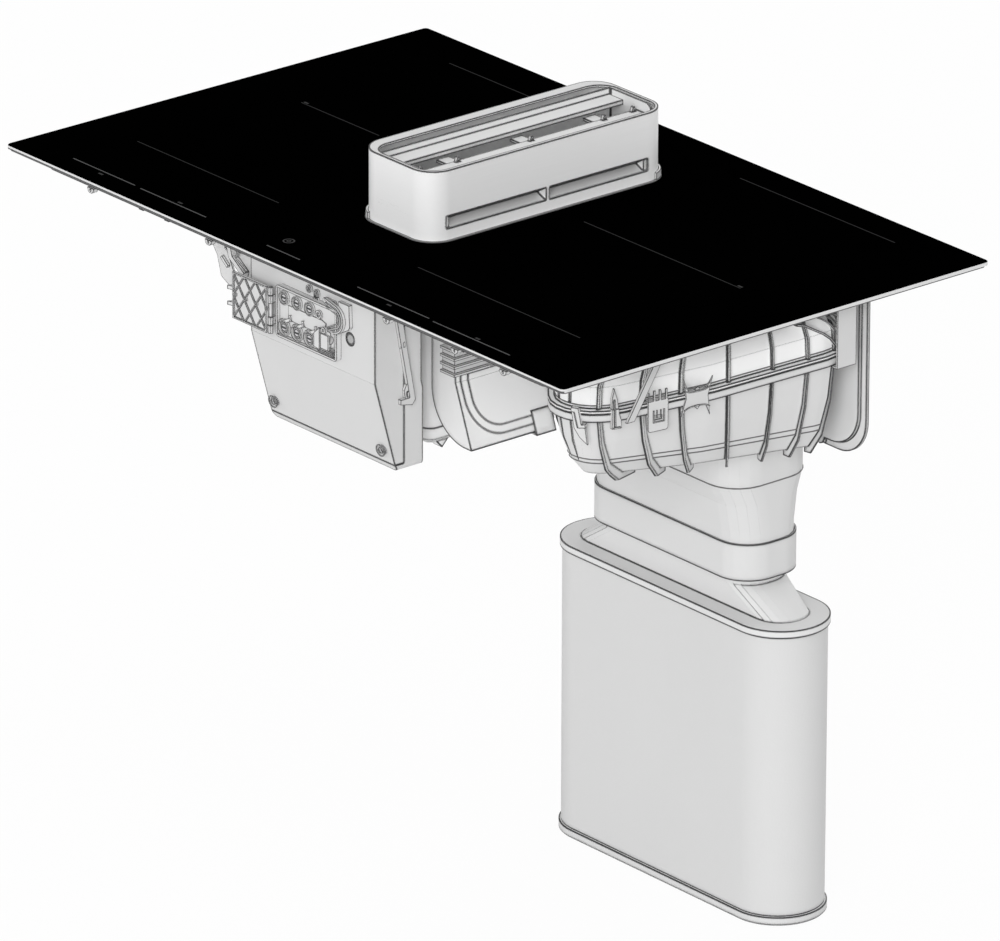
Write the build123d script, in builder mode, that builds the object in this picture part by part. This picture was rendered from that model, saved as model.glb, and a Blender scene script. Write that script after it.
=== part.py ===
from build123d import *
import os
from math import atan2, cos, degrees, radians, sin, tau

os.makedirs("parts", exist_ok=True)

# A venting hob: glass hob with an intake tower that rises from its middle, the fan
# and electronics hung under it, and a filter box below the fan's flat duct.
# Millimetres.  +X to the right and +Y to the back, as the cook stands; +Z up.
# The origin is the middle of the hob on the worktop's upper face.

# ---------------------------------------------------------------- driving sizes
# hob glass, its seal on the worktop and the frame glued under it
glass_width = 830.0
glass_depth = 520.0
glass_thickness = 4.0
glass_corner = 5.0
glass_chamfer = 0.6
seal_thickness = 2.0
seal_width = 12.0
seal_inset = 2.0
frame_side_inset = 40.0
frame_end_inset = 17.0
frame_height = 12.0
frame_wall = 14.0
frame_corner = 12.0
frame_bar_width = 8.0
frame_bar_clearance = 1.0
seat_gap = 0.3
tray_wall = 1.5
tray_under_glass = 3.0
tray_slot_length = 40.0
tray_slot_inset = 16.0
tray_slot_count = 4
tray_slot_width = 5.0
tray_slot_pitch = 60.0
coil_side_gap = 16.7
coil_end_gap = 22.2
coil_gap = 18.0
coil_corner = 50.0
coil_thickness = 6.0
coil_window = 60.0
coil_window_depth = 36.0
nub_places = (-306.0, -234.0, -195.0, -130.0, 135.0, 243.0, 310.0)
nub_length = 7.0
nub_width = 4.2
nub_drop = 4.0

# intake tower, drawn out of the glass
tower_width = 106.0
tower_depth = 294.0
tower_corner = 25.0
tower_y = 27.0
tower_rise = 70.0
tower_skirt = 30.0
tower_wall = 2.2
tower_rim = 4.0
tower_rim_height = 2.5
tower_lip = 13.0
side_slot_length = 247.0
side_slot_height = 12.2
side_slot_above_glass = 11.8
side_slot_y = 24.5
side_slot_post = 4.0
side_ledge_depth = 12.0
side_ledge_rise = 5.0
side_ledge_thickness = 1.5
shelf_length = 50.0
shelf_reach = 7.0
shelf_thickness = 3.0
tower_clearance = 0.5
collar_width = 3.0
collar_proud = 0.6
collar_flange = 6.0
collar_flange_thickness = 1.5
collar_fit = 0.2
corner_guide_height = 7.0

# grease filter cassette that lifts out of the tower
cassette_gap = 12.0
cassette_side_gap = 1.0
cassette_depth = 44.0
cassette_below_mouth = 1.0
cheek_slope = 20.0
cassette_wall = 1.6
baffle_upstand = 7.0
baffle_width = 21.5
baffle_edge = 5.0
cassette_slot = 17.5
ledge_drop = 12.0
bridge_length = 15.0
bridge_pitch = 90.0
bridge_y = 36.0
bridge_drop = 14.5
bridge_thickness = 3.0
clip_length = 6.0
clip_height = 5.5
clip_wall = 1.4
clip_depth = 4.0
clip_tip = 0.8
clip_inset = 1.0
mesh_height = 8.0
mesh_rim = 3.0
mesh_bar = 1.6
mesh_bar_count = 13

# intake well under the tower, and the overflow tray below it
well_width = 130.0
well_front = -131.0
well_back = 185.0
well_depth = 164.0
well_wall = 2.5
well_corner = 12.0
well_flange = 8.0
well_drain_length = 60.0
well_drain_width = 24.0
rail_width = 10.0
drip_height = 16.0
drip_inset = 1.5
drip_edge = 4.0
foot_length = 16.0
foot_height = 8.0
foot_width = 12.0
rail_below_frame = 6.0
rail_short = 4.0

# electronics case under the front of the hob
case_width = 185.0
case_front = -218.0
cover_depth = 35.0
cover_height = 175.0
cover_straight = 88.0
cover_lean = 24.0
cover_wall = 2.2
case_tray_depth = 23.0
case_tray_lip = 7.0
case_tray_wall = 2.5
case_tray_step = 2.0
case_tray_step_low = 104.0
case_tray_step_high = 96.0
case_tray_slope = 4.0
case_tray_edge = 5.0
case_screw_inset_x = 12.0
case_screw_height = 14.0
case_screw_radius = 5.0
case_screw_head = 1.8
sight_hole_radius = 6.0
sight_hole_x = 56.0
sight_hole_z = -63.0

# circuit board in the case
board_side_gap = 2.5
board_height = 162.0
board_thickness = 2.0
board_parts_depth = 20.0
sink_x = -40.0
sink_width = 50.0
sink_height = 90.0
capacitor_places = (30.0, 62.0)
capacitor_radius = 11.0

# mains terminal on the case's front, with its hinged lid
terminal_left = -48.0
terminal_width = 91.0
terminal_top = -37.0
terminal_height = 52.0
terminal_frame_wall = 2.5
terminal_frame_height = 6.0
terminal_corner = 4.0
terminal_block_depth = 5.0
terminal_ring_height = 2.0
terminal_fit = 0.2
small_round_sides = 8
terminal_screw_inset = 11.0
terminal_ring_wall = 1.6
terminal_screw_pitch = 19.0
terminal_screw_radius = 4.0
terminal_screw_row_gap = 30.0
terminal_screw_head = 1.8
terminal_slot_length = 6.0
terminal_slot_width = 1.0
clamp_width = 20.0
clamp_height = 16.0
clamp_depth = 7.0
clamp_corner = 2.0
clamp_drop = 4.0
clamp_inset = 1.0
cord_radius = 4.0
lid_width = 54.0
lid_height = 46.5
lid_wall = 1.8
lid_rib = 1.6
lid_lattice = 3
lid_pin_radius = 1.2
lid_pin_clearance = 0.05
lid_knuckle = 2.6
lid_knuckle_length = 8.0
lid_tongue = 7.0
lid_tongue_slope = 2.0
lid_tongue_height = 4.0
lid_tongue_above = 4.0
lid_tongue_below = 12.0
lid_below_top = 3.0
lid_axis_left = 3.0
lid_web = 1.8
lid_gap = 0.4
lid_offset = 0.6
lid_shut_gap = 0.4

# bracket and strap at the sides of the case, as distances out or back, and down
bracket_setback = 14.0
bracket_thickness = 2.5
bracket_rim_depth = 9.0
bracket_outline = ((0.05, 0.0), (52.0, 0.0), (43.0, 30.0), (22.0, 44.0), (0.05, 62.0))
bracket_rim = ((46.0, 0.0), (52.0, 0.0), (43.0, 30.0), (22.0, 44.0), (20.0, 39.0), (38.0, 27.0))
strap_outline = (
    (18.0, 0.0),
    (25.0, 0.0),
    (46.0, 112.0),
    (42.0, 117.0),
    (28.0, 114.0),
    (28.0, 109.0),
    (39.0, 109.0),
)
side_strap_thickness = 4.0

# duct from the well to the fan
duct_right = 100.0
duct_foot_right = 124.0
duct_knee = 106.0
duct_front = -127.0
duct_back = -24.0
duct_depth = 168.0
duct_wall = 2.5
duct_corner = 50.0
duct_panel_raise = 1.0
duct_panel_inset = 6.0
duct_panel_step = 8.0
duct_panel_top = 99.0
duct_panel_bottom = 160.0
duct_panel_corner = 38.0
duct_clip_front = -51.0
duct_clip_length = 24.0
duct_clip_top = 147.0
duct_clip_lip = 12.0
duct_clip_gap = 0.5
window_margin = 10.0
window_drop = 34.0
neck_front = -70.0
neck_back = -38.0
neck_top = -68.0
neck_height = 36.0
neck_end = 188.0
neck_fit = 0.2
neck_flange = 3.5
plug_left = 87.0
plug_back = -84.0
plug_reach = 5.0
plug_fin_reach = 8.0
plug_top = -80.0
plug_pitch = 8.0
plug_fin = 2.6
plug_fins = 4

# fan housing, two ribbed shells that meet in a flange
seam_z = -58.0
seam_width = 6.0
seam_thickness = 3.5
seam_skirt = 8.0
shell_wall = 3.0
shell_corner = 42.0
shell_facet = 18.0
cavity_facet = 34.0
shell_rise = ((0.0, 0.0), (0.5, 1.5), (0.8, 8.0), (1.0, 24.0))
bowl_fall = ((0.0, 0.0), (0.45, 5.0), (0.8, 14.0), (1.0, 26.0))
bowl_front_depth = 64.0
bowl_back_depth = 102.0
rib_thickness = 2.4
rib_height = 3.0
rib_drop = 7.0
rib_reach = 0.7
rib_x = 262.0
rib_y = 65.0
near_ribs = (-68.0, -61.0, -53.0, -39.0, -19.5, 0.0, 16.0)
far_ribs = (-122.0, -88.0, 60.0, 120.0)
housing_points = (
    (70.0, 5.0),
    (338.0, -212.0),
    (368.0, -155.0),
    (383.0, -50.0),
    (389.0, 128.0),
    (70.0, 128.0),
)
end_cover_left = 150.0
end_cover_right = 389.0
end_cover_bottom = -171.0
end_cover_layer = 3.5
end_cover_step = 5.0
end_cover_corner = 38.0
cover_boss_x = 328.0
cover_boss_radius = 6.0
cover_boss_length = 13.0

# clips and stays on the housing
clip_wall_thickness = 1.6
clip_grip = 5.0
hook_lap = 2.4
corner_clip_angle = -72.5
corner_clip_width = 10.0
corner_clip_up = 3.0
corner_clip_down = 18.0
rib_clip_angle = -64.5
rib_clip_width = 8.0
rib_clip_up = 18.0
rib_clip_down = 5.0
latch_y = -112.0
latch_width = 22.0
latch_drop = 22.0
star_y = -70.0
star_width = 24.0
star_reach = 14.0
strap_width = 23.0
strap_thickness = 2.0
strap_middle_y = 103.0
strap_outer_x = 393.0
strap_foot = 6.5
brace_width = 9.0
brace_thickness = 3.0
brace_top_y = -111.0
brace_foot_y = -147.0

# fan
fan_x = 265.0
fan_y = 10.0
impeller_radius = 84.0
impeller_height = 52.0
impeller_top = -42.0
impeller_blades = 20
wheel_sides = 24
blade_inner_radius = 68.0
blade_lap = 0.8
blade_bow = 3.5
blade_wall = 1.2
blade_rim_gap = 2.0
blade_sweep = 9.0
impeller_plate = 2.0
impeller_hub_radius = 14.0
impeller_hub_height = 26.0
shaft_radius = 4.0
shaft_clearance = 0.05
motor_radius = 42.0
motor_height = 24.0
motor_edge = 5.0

# flat duct below the fan, and the filter box that hangs in it
duct_x = 225.0
duct_y = 63.0
adapter_width = 230.0
adapter_depth = 105.0
adapter_corner = 34.0
adapter_top = -144.0
adapter_shoulder = -189.0
adapter_waist = -238.0
adapter_bottom = -262.0
sleeve_width = 238.0
sleeve_depth = 84.0
sleeve_wall = 2.2
sleeve_corner = 34.0
sleeve_height = 37.0
sleeve_top = -247.0
sleeve_fit = 0.2
air_wall = 2.2
spigot_width = 220.0
spigot_depth = 64.0
spigot_corner = 27.0
spigot_show = 8.0
spigot_inside = 14.0
spigot_flange_height = 3.0
filter_width = 338.0
filter_depth = 91.0
filter_rim = 2.3
filter_cap_height = 7.6
filter_base_height = 8.8
filter_edge = 1.2
filter_total = 301.0
filter_top = -318.5
filter_wall = 12.0
hood_width = 303.0
hood_depth = 55.0

# ---------------------------------------------------------------- shared outline
def rounded_points(corners, radius, inset, facet):
    """List the points of an outline whose corners are rounded in flats that each turn by about facet."""
    points = []
    for before, here, after in zip(corners[-1:] + corners[:-1], corners, corners[1:] + corners[:1]):
        arriving = atan2(here[1] - before[1], here[0] - before[0])
        leaving = atan2(after[1] - here[1], after[0] - here[0])
        turn = (leaving - arriving) % tau
        flats = max(1, round(degrees(turn) / facet))
        reach = radius / (1 + cos(turn))
        centre_x = here[0] - reach * (sin(arriving) + sin(leaving))
        centre_y = here[1] + reach * (cos(arriving) + cos(leaving))
        for step in range(flats + 1):
            heading = arriving + turn * step / flats
            points.append(
                (centre_x + (radius - inset) * sin(heading), centre_y - (radius - inset) * cos(heading))
            )
    return points


# ---------------------------------------------------------------- shared places
frame_width = glass_width - 2 * frame_side_inset
frame_depth = glass_depth - 2 * frame_end_inset
glass_bottom = seal_thickness
glass_top = glass_bottom + glass_thickness
frame_bottom = glass_bottom - frame_height
tower_top = glass_top + tower_rise
tower_foot = glass_bottom - tower_skirt
collar_inner_width = tower_width + 2 * tower_clearance
collar_inner_depth = tower_depth + 2 * tower_clearance
collar_inner_corner = tower_corner + tower_clearance
collar_outer_width = collar_inner_width + 2 * collar_width
collar_outer_depth = collar_inner_depth + 2 * collar_width
collar_outer_corner = collar_inner_corner + collar_width
well_bottom = frame_bottom - well_depth
case_back = case_front + cover_depth
cover_bottom = frame_bottom - cover_height
well_side = well_width / 2
lid_axis_x = terminal_left - lid_axis_left
lid_axis_y = case_front - terminal_frame_height - lid_offset - lid_wall / 2 - lid_rib - lid_shut_gap


def finish_part(part, name):
    """Label a finished piece and write its STEP file."""
    part.label = name
    export_step(part, "parts/" + name + ".step")


# ---------------------------------------------------------------- hob glass and frame
with BuildPart() as glass_panel:
    with BuildSketch(Plane.XY.offset(glass_bottom)):
        RectangleRounded(glass_width, glass_depth, glass_corner)
        with Locations((0, tower_y)):
            RectangleRounded(
                collar_outer_width + 2 * collar_fit,
                collar_outer_depth + 2 * collar_fit,
                collar_outer_corner + collar_fit,
                mode=Mode.SUBTRACT,
            )
    extrude(amount=glass_thickness)
    rim_edges = glass_panel.faces().sort_by(Axis.Z)[-1].outer_wire().edges()
    chamfer(rim_edges, glass_chamfer)
finish_part(glass_panel.part, "glass_panel")

seal_outer_width = glass_width - 2 * seal_inset
seal_outer_depth = glass_depth - 2 * seal_inset
with BuildPart() as worktop_seal:
    with BuildSketch(Plane.XY):
        RectangleRounded(seal_outer_width, seal_outer_depth, glass_corner)
        Rectangle(
            seal_outer_width - 2 * seal_width,
            seal_outer_depth - 2 * seal_width,
            mode=Mode.SUBTRACT,
        )
    extrude(amount=seal_thickness)
finish_part(worktop_seal.part, "worktop_seal")

opening_width = frame_width - 2 * frame_wall
opening_depth = frame_depth - 2 * frame_wall
bar_inner = well_side + frame_bar_clearance
bar_middle = bar_inner + frame_bar_width / 2
with BuildPart() as carrier_frame:
    with BuildSketch(Plane.XY.offset(frame_bottom)):
        RectangleRounded(frame_width, frame_depth, frame_corner)
        Rectangle(opening_width, opening_depth, mode=Mode.SUBTRACT)
        with Locations((-bar_middle, 0), (bar_middle, 0)):
            Rectangle(frame_bar_width, opening_depth + 2)
    extrude(amount=frame_height)
    nub_y = -frame_depth / 2 + frame_wall / 2
    with BuildSketch(Plane.XY.offset(frame_bottom)):
        with Locations(*[(place, nub_y) for place in nub_places]):
            Rectangle(nub_length, nub_width)
    extrude(amount=-nub_drop)
finish_part(carrier_frame.part, "carrier_frame")

tray_inner_x = bar_inner + frame_bar_width + seat_gap
tray_outer_x = opening_width / 2 - seat_gap
tray_width = tray_outer_x - tray_inner_x
tray_depth = opening_depth - 2 * seat_gap
tray_x = (tray_inner_x + tray_outer_x) / 2
tray_height = frame_height - tray_under_glass
coil_z = frame_bottom + tray_wall
coil_width = tray_width - 2 * (tray_wall + coil_side_gap)
coil_depth = tray_depth / 2 - tray_wall - coil_end_gap - coil_gap / 2
coil_pitch = coil_depth + coil_gap
for side, hand in (("left", -1), ("right", 1)):
    with BuildPart() as coil_tray:
        with BuildSketch(Plane.XY.offset(frame_bottom)):
            with Locations((hand * tray_x, 0)):
                Rectangle(tray_width, tray_depth)
        extrude(amount=tray_height)
        with BuildSketch(Plane.XY.offset(frame_bottom + tray_wall)):
            with Locations((hand * tray_x, 0)):
                Rectangle(tray_width - 2 * tray_wall, tray_depth - 2 * tray_wall)
        extrude(amount=tray_height, mode=Mode.SUBTRACT)
        slot_row = tray_depth / 2 - tray_slot_inset
        with BuildSketch(Plane.XY.offset(frame_bottom)):
            with Locations((hand * tray_x, -slot_row), (hand * tray_x, slot_row)):
                with GridLocations(tray_slot_pitch, 1, tray_slot_count, 1):
                    Rectangle(tray_slot_length, tray_slot_width)
        extrude(amount=tray_wall, mode=Mode.SUBTRACT)
    finish_part(coil_tray.part, "coil_tray_" + side)
    for row, place in (("front", -1), ("rear", 1)):
        coil_plane = Plane.XY.offset(coil_z)
        coil_middle = (hand * tray_x, place * coil_pitch / 2)
        with BuildPart() as coil:
            with BuildSketch(coil_plane) as coil_outline:
                with Locations(coil_middle):
                    Rectangle(coil_width, coil_depth)
                chamfer(coil_outline.vertices(), coil_corner)
                with Locations(coil_middle):
                    Rectangle(coil_window, coil_window_depth, mode=Mode.SUBTRACT)
            extrude(amount=coil_thickness)
        finish_part(coil.part, "coil_" + row + "_" + side)

# ---------------------------------------------------------------- collar in the glass
with BuildPart() as tower_collar:
    with BuildSketch(Plane.XY.offset(glass_bottom - collar_flange_thickness)):
        with Locations((0, tower_y)):
            RectangleRounded(
                collar_outer_width + 2 * collar_flange,
                collar_outer_depth + 2 * collar_flange,
                collar_outer_corner + collar_flange,
            )
    extrude(amount=collar_flange_thickness)
    with BuildSketch(Plane.XY.offset(glass_bottom)):
        with Locations((0, tower_y)):
            RectangleRounded(collar_outer_width, collar_outer_depth, collar_outer_corner)
    extrude(amount=glass_thickness + collar_proud)
    with BuildSketch(Plane.XY.offset(glass_bottom - collar_flange_thickness)):
        with Locations((0, tower_y)):
            RectangleRounded(collar_inner_width, collar_inner_depth, collar_inner_corner)
    extrude(amount=glass_thickness + collar_flange_thickness + collar_proud, mode=Mode.SUBTRACT)
finish_part(tower_collar.part, "tower_collar")

# short upstanding guides on the collar, round the two far corners of the tower
for name, x_sign, y_sign in (("left", -1, -1), ("right", 1, 1)):
    with BuildPart() as corner_guide:
        with BuildSketch(Plane.XY.offset(glass_top + collar_proud)):
            with Locations((0, tower_y)):
                RectangleRounded(
                    collar_outer_width - 1.0,
                    collar_outer_depth - 1.0,
                    collar_outer_corner - 0.5,
                )
                RectangleRounded(
                    collar_inner_width,
                    collar_inner_depth,
                    collar_inner_corner,
                    mode=Mode.SUBTRACT,
                )
            guide_x = x_sign * (tower_width / 2 - tower_corner * 0.1)
            guide_y = tower_y + y_sign * (tower_depth / 2 - tower_corner * 0.1)
            with Locations((guide_x, guide_y)):
                Rectangle(tower_corner * 1.1, tower_corner * 1.1, mode=Mode.INTERSECT)
        extrude(amount=corner_guide_height)
    finish_part(corner_guide.part, "corner_guide_" + name)

# ---------------------------------------------------------------- places in the tower
mouth_left = -tower_width / 2 + tower_lip
mouth_right = tower_width / 2 - tower_rim
cassette_left = mouth_left + cassette_gap
cassette_right = mouth_right - cassette_side_gap
cassette_end = tower_depth / 2 - tower_rim - cassette_side_gap
cassette_top = tower_top - cassette_below_mouth
baffle_z = cassette_top - baffle_upstand
baffle_right = cassette_left + baffle_width
ledge_left = baffle_right + cassette_slot
ledge_z = cassette_top - ledge_drop
cassette_bottom = cassette_top - cassette_depth
cassette_span = 2 * cassette_end
inner_span = cassette_span - 2 * cassette_wall
cassette_middle = (mouth_left + mouth_right) / 2
cassette_half = (mouth_right - mouth_left) / 2 - cassette_side_gap
cassette_corner = tower_corner - tower_rim - cassette_side_gap

# ---------------------------------------------------------------- tower shell
slot_bottom = glass_top + side_slot_above_glass
with BuildPart() as tower_shell:
    with BuildSketch(Plane.XY.offset(tower_foot)):
        with Locations((0, tower_y)):
            RectangleRounded(tower_width, tower_depth, tower_corner)
    extrude(amount=tower_top - tower_foot)
    with BuildSketch(Plane.XY.offset(tower_foot)):
        with Locations((0, tower_y)):
            RectangleRounded(
                tower_width - 2 * tower_wall,
                tower_depth - 2 * tower_wall,
                tower_corner - tower_wall,
            )
    extrude(amount=tower_top - tower_foot - tower_rim_height, mode=Mode.SUBTRACT)
    with BuildSketch(Plane.XY.offset(tower_top - tower_rim_height)):
        with Locations(((mouth_left + mouth_right) / 2, tower_y)):
            RectangleRounded(
                mouth_right - mouth_left,
                tower_depth - 2 * tower_rim,
                tower_corner - tower_rim,
            )
    extrude(amount=tower_rim_height, mode=Mode.SUBTRACT)
    # shelf at each end on which the cassette rests
    shelf_y = tower_depth / 2 - tower_wall - shelf_reach / 2
    with BuildSketch(Plane.XY.offset(cassette_bottom - shelf_thickness)):
        with Locations((0, tower_y - shelf_y), (0, tower_y + shelf_y)):
            Rectangle(shelf_length, shelf_reach + 1)
    extrude(amount=shelf_thickness)
    # outlet slot low on the right side, with a sloping ledge and gussets behind it
    with BuildSketch(Plane.YZ.offset(tower_width / 2 - tower_wall * 2)):
        with Locations((side_slot_y, slot_bottom + side_slot_height / 2)):
            Rectangle(side_slot_length, side_slot_height)
        with Locations((side_slot_y, slot_bottom + side_slot_height / 2)):
            Rectangle(side_slot_post, side_slot_height, mode=Mode.SUBTRACT)
    extrude(amount=tower_wall * 3, mode=Mode.SUBTRACT)
    inner_side = tower_width / 2 - tower_wall
    with BuildSketch(Plane.XZ.offset(-(side_slot_y + side_slot_length / 2))):
        with BuildLine():
            Polyline(
                (inner_side + 0.5, slot_bottom - side_ledge_thickness),
                (inner_side + 0.5, slot_bottom),
                (inner_side - side_ledge_depth, slot_bottom + side_ledge_rise),
                (inner_side - side_ledge_depth, slot_bottom + side_ledge_rise - side_ledge_thickness),
                close=True,
            )
        make_face()
    extrude(amount=side_slot_length)
    gusset_places = (
        side_slot_y - side_slot_length / 2 + side_slot_post / 2,
        side_slot_y,
        side_slot_y + side_slot_length / 2 - side_slot_post / 2,
    )
    for gusset_y in gusset_places:
        with BuildSketch(Plane.XZ.offset(-(gusset_y + side_slot_post / 2))):
            with BuildLine():
                Polyline(
                    (inner_side + 0.5, slot_bottom - 1.0),
                    (inner_side + 0.5, slot_bottom + side_slot_height),
                    (inner_side - side_ledge_depth, slot_bottom + side_ledge_rise),
                    close=True,
                )
            make_face()
        extrude(amount=side_slot_post)
finish_part(tower_shell.part, "tower_shell")

# ---------------------------------------------------------------- grease filter cassette
with BuildPart() as baffle_plate:
    with BuildSketch(Plane.XZ.offset(-(tower_y + inner_span / 2))):
        with BuildLine():
            Polyline(
                (cassette_left, cassette_top),
                (cassette_left + cassette_wall, cassette_top),
                (cassette_left + cassette_wall, baffle_z),
                (baffle_right, baffle_z),
                (baffle_right, baffle_z - baffle_edge),
                (baffle_right - cassette_wall, baffle_z - baffle_edge),
                (baffle_right - cassette_wall, baffle_z - cassette_wall),
                (cassette_left, baffle_z - cassette_wall),
                close=True,
            )
        make_face()
    extrude(amount=inner_span)
finish_part(baffle_plate.part, "baffle_plate")

bridge_places = [bridge_y + step * bridge_pitch for step in (-1, 0, 1)]
bridge_z = cassette_top - bridge_drop
with BuildPart() as filter_frame:
    # two end cheeks, the ledge with its turned-down edges, and the bridges
    for cheek_y in (tower_y - cassette_end, tower_y + cassette_end - cassette_wall):
        with BuildSketch(Plane.XZ.offset(-(cheek_y + cassette_wall))):
            with BuildLine():
                Polyline(
                    (cassette_left, cassette_top),
                    (cassette_right - cheek_slope, cassette_top),
                    (cassette_right, ledge_z),
                    (cassette_right, cassette_bottom),
                    (cassette_left, cassette_bottom),
                    close=True,
                )
            make_face()
        extrude(amount=cassette_wall)
    with BuildSketch(Plane.XZ.offset(-(tower_y + cassette_end))):
        with BuildLine():
            Polyline(
                (ledge_left, ledge_z),
                (cassette_right, ledge_z),
                (cassette_right, cassette_bottom),
                (cassette_right - cassette_wall, cassette_bottom),
                (cassette_right - cassette_wall, ledge_z - cassette_wall),
                (ledge_left + cassette_wall, ledge_z - cassette_wall),
                (ledge_left + cassette_wall, ledge_z - 2 * cassette_wall - baffle_edge),
                (ledge_left, ledge_z - 2 * cassette_wall - baffle_edge),
                close=True,
            )
        make_face()
    extrude(amount=cassette_span)
    bridge_left = baffle_right - cassette_wall
    bridge_right = ledge_left + cassette_wall
    for place in bridge_places:
        with BuildSketch(Plane.XY.offset(bridge_z - bridge_thickness)):
            with Locations(((bridge_left + bridge_right) / 2, place)):
                Rectangle(bridge_right - bridge_left, bridge_length)
        extrude(amount=bridge_thickness)
    # spring clips standing on the ledge
    for place in (bridge_y - 1.5 * bridge_pitch, *bridge_places, bridge_y + 1.4 * bridge_pitch):
        with BuildSketch(Plane.YZ.offset(ledge_left + clip_inset)):
            with BuildLine():
                Polyline(
                    (place - clip_length / 2, ledge_z - 0.5),
                    (place - clip_tip, ledge_z + clip_height),
                    (place + clip_tip, ledge_z + clip_height),
                    (place + clip_length / 2, ledge_z - 0.5),
                    (place + clip_length / 2 - clip_wall, ledge_z - 0.5),
                    (place, ledge_z + clip_height - clip_wall - clip_tip),
                    (place - clip_length / 2 + clip_wall, ledge_z - 0.5),
                    close=True,
                )
            make_face()
        extrude(amount=clip_depth)
    # rounded corners that follow the tower's mouth
    with BuildSketch(Plane.XY.offset(cassette_bottom)):
        with Locations((cassette_middle, tower_y)):
            RectangleRounded(2 * cassette_half, cassette_span, cassette_corner)
    extrude(amount=cassette_depth + clip_height, mode=Mode.INTERSECT)
finish_part(filter_frame.part, "filter_frame")

mesh_left = cassette_left
mesh_right = cassette_right - cassette_wall
mesh_z = cassette_bottom
with BuildPart() as grease_mesh:
    mesh_x = (mesh_left + mesh_right) / 2
    mesh_width = mesh_right - mesh_left
    with BuildSketch(Plane.XY.offset(mesh_z)):
        with Locations((mesh_x, tower_y)):
            Rectangle(mesh_width, inner_span)
            Rectangle(mesh_width - 2 * mesh_rim, inner_span - 2 * mesh_rim, mode=Mode.SUBTRACT)
    extrude(amount=mesh_height)
    bar_pitch = (inner_span - 2 * mesh_rim) / (mesh_bar_count + 1)
    with BuildSketch(Plane.XY.offset(mesh_z + mesh_height * 0.3)):
        with Locations((mesh_x, tower_y)):
            with GridLocations(1, bar_pitch, 1, mesh_bar_count):
                Rectangle(mesh_width - mesh_rim, mesh_bar)
            Rectangle(mesh_bar, inner_span - mesh_rim)
    extrude(amount=mesh_height * 0.5)
    with BuildSketch(Plane.XY.offset(mesh_z)):
        with Locations((cassette_middle, tower_y)):
            RectangleRounded(2 * cassette_half, cassette_span, cassette_corner)
    extrude(amount=mesh_height, mode=Mode.INTERSECT)
finish_part(grease_mesh.part, "grease_mesh")

# ---------------------------------------------------------------- intake well and overflow tray
well_length = well_back - well_front
well_y = (well_back + well_front) / 2
window_front = duct_front + duct_wall + window_margin
window_back = duct_back - duct_wall - window_margin
window_top = frame_bottom - window_drop
window_bottom = frame_bottom - duct_depth + duct_corner
with BuildPart() as intake_well:
    with BuildSketch(Plane.XY.offset(well_bottom)):
        with Locations((0, well_y)):
            RectangleRounded(well_width, well_length, well_corner)
    extrude(amount=well_depth)
    with BuildSketch(Plane.XY.offset(frame_bottom - well_wall)):
        with Locations((0, well_y)):
            RectangleRounded(well_width + 2 * well_flange, well_length, well_corner)
    extrude(amount=well_wall)
    with BuildSketch(Plane.XY.offset(well_bottom + well_wall)):
        with Locations((0, well_y)):
            RectangleRounded(
                well_width - 2 * well_wall,
                well_length - 2 * well_wall,
                well_corner - well_wall,
            )
    extrude(amount=well_depth, mode=Mode.SUBTRACT)
    with BuildSketch(Plane.YZ.offset(well_side - 2 * well_wall)):
        with Locations(((window_front + window_back) / 2, (window_top + window_bottom) / 2)):
            Rectangle(window_back - window_front, window_top - window_bottom)
    extrude(amount=4 * well_wall, mode=Mode.SUBTRACT)
    with BuildSketch(Plane.XY.offset(well_bottom)):
        with Locations((0, well_y)):
            Rectangle(well_drain_length, well_drain_width)
    extrude(amount=well_wall, mode=Mode.SUBTRACT)
finish_part(intake_well.part, "intake_well")

drip_bottom = well_bottom - drip_height
with BuildPart() as drip_tray:
    with BuildSketch(Plane.XY.offset(drip_bottom)):
        with Locations((0, well_y)):
            RectangleRounded(
                well_width - 2 * drip_inset,
                well_length - 2 * drip_inset,
                well_corner - drip_inset,
            )
    extrude(amount=drip_height)
    chamfer(drip_tray.faces().sort_by(Axis.Z)[0].edges(), drip_edge)
    with BuildSketch(Plane.XY.offset(drip_bottom + well_wall)):
        with Locations((0, well_y)):
            RectangleRounded(
                well_width - 2 * (drip_inset + well_wall),
                well_length - 2 * (drip_inset + well_wall),
                well_corner - drip_inset - well_wall,
            )
    extrude(amount=drip_height, mode=Mode.SUBTRACT)
    with BuildSketch(Plane.YZ.offset(well_side - drip_inset - foot_length)):
        with BuildLine():
            foot_y = well_front + drip_inset + well_corner
            Polyline(
                (foot_y, drip_bottom + 0.5),
                (foot_y + foot_length, drip_bottom + 0.5),
                (foot_y + foot_length / 2, drip_bottom - foot_height),
                close=True,
            )
        make_face()
    extrude(amount=foot_width)
finish_part(drip_tray.part, "drip_tray")

# guide rails for the tower, one at each end of the well
rail_height = tower_rise + tower_skirt - rail_short
for name, face_y, toward in (("front", well_front + well_wall, 1), ("rear", well_back - well_wall, -1)):
    tower_face = tower_y - toward * (tower_depth / 2)
    rail_gap = abs(tower_face - face_y) - seat_gap
    with BuildPart() as guide_rail:
        with BuildSketch(Plane.XY.offset(frame_bottom - rail_height)):
            with Locations((0, face_y + toward * rail_gap / 2)):
                Rectangle(rail_width, rail_gap)
        extrude(amount=rail_height - rail_below_frame)
    finish_part(guide_rail.part, "guide_rail_" + name)

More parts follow.
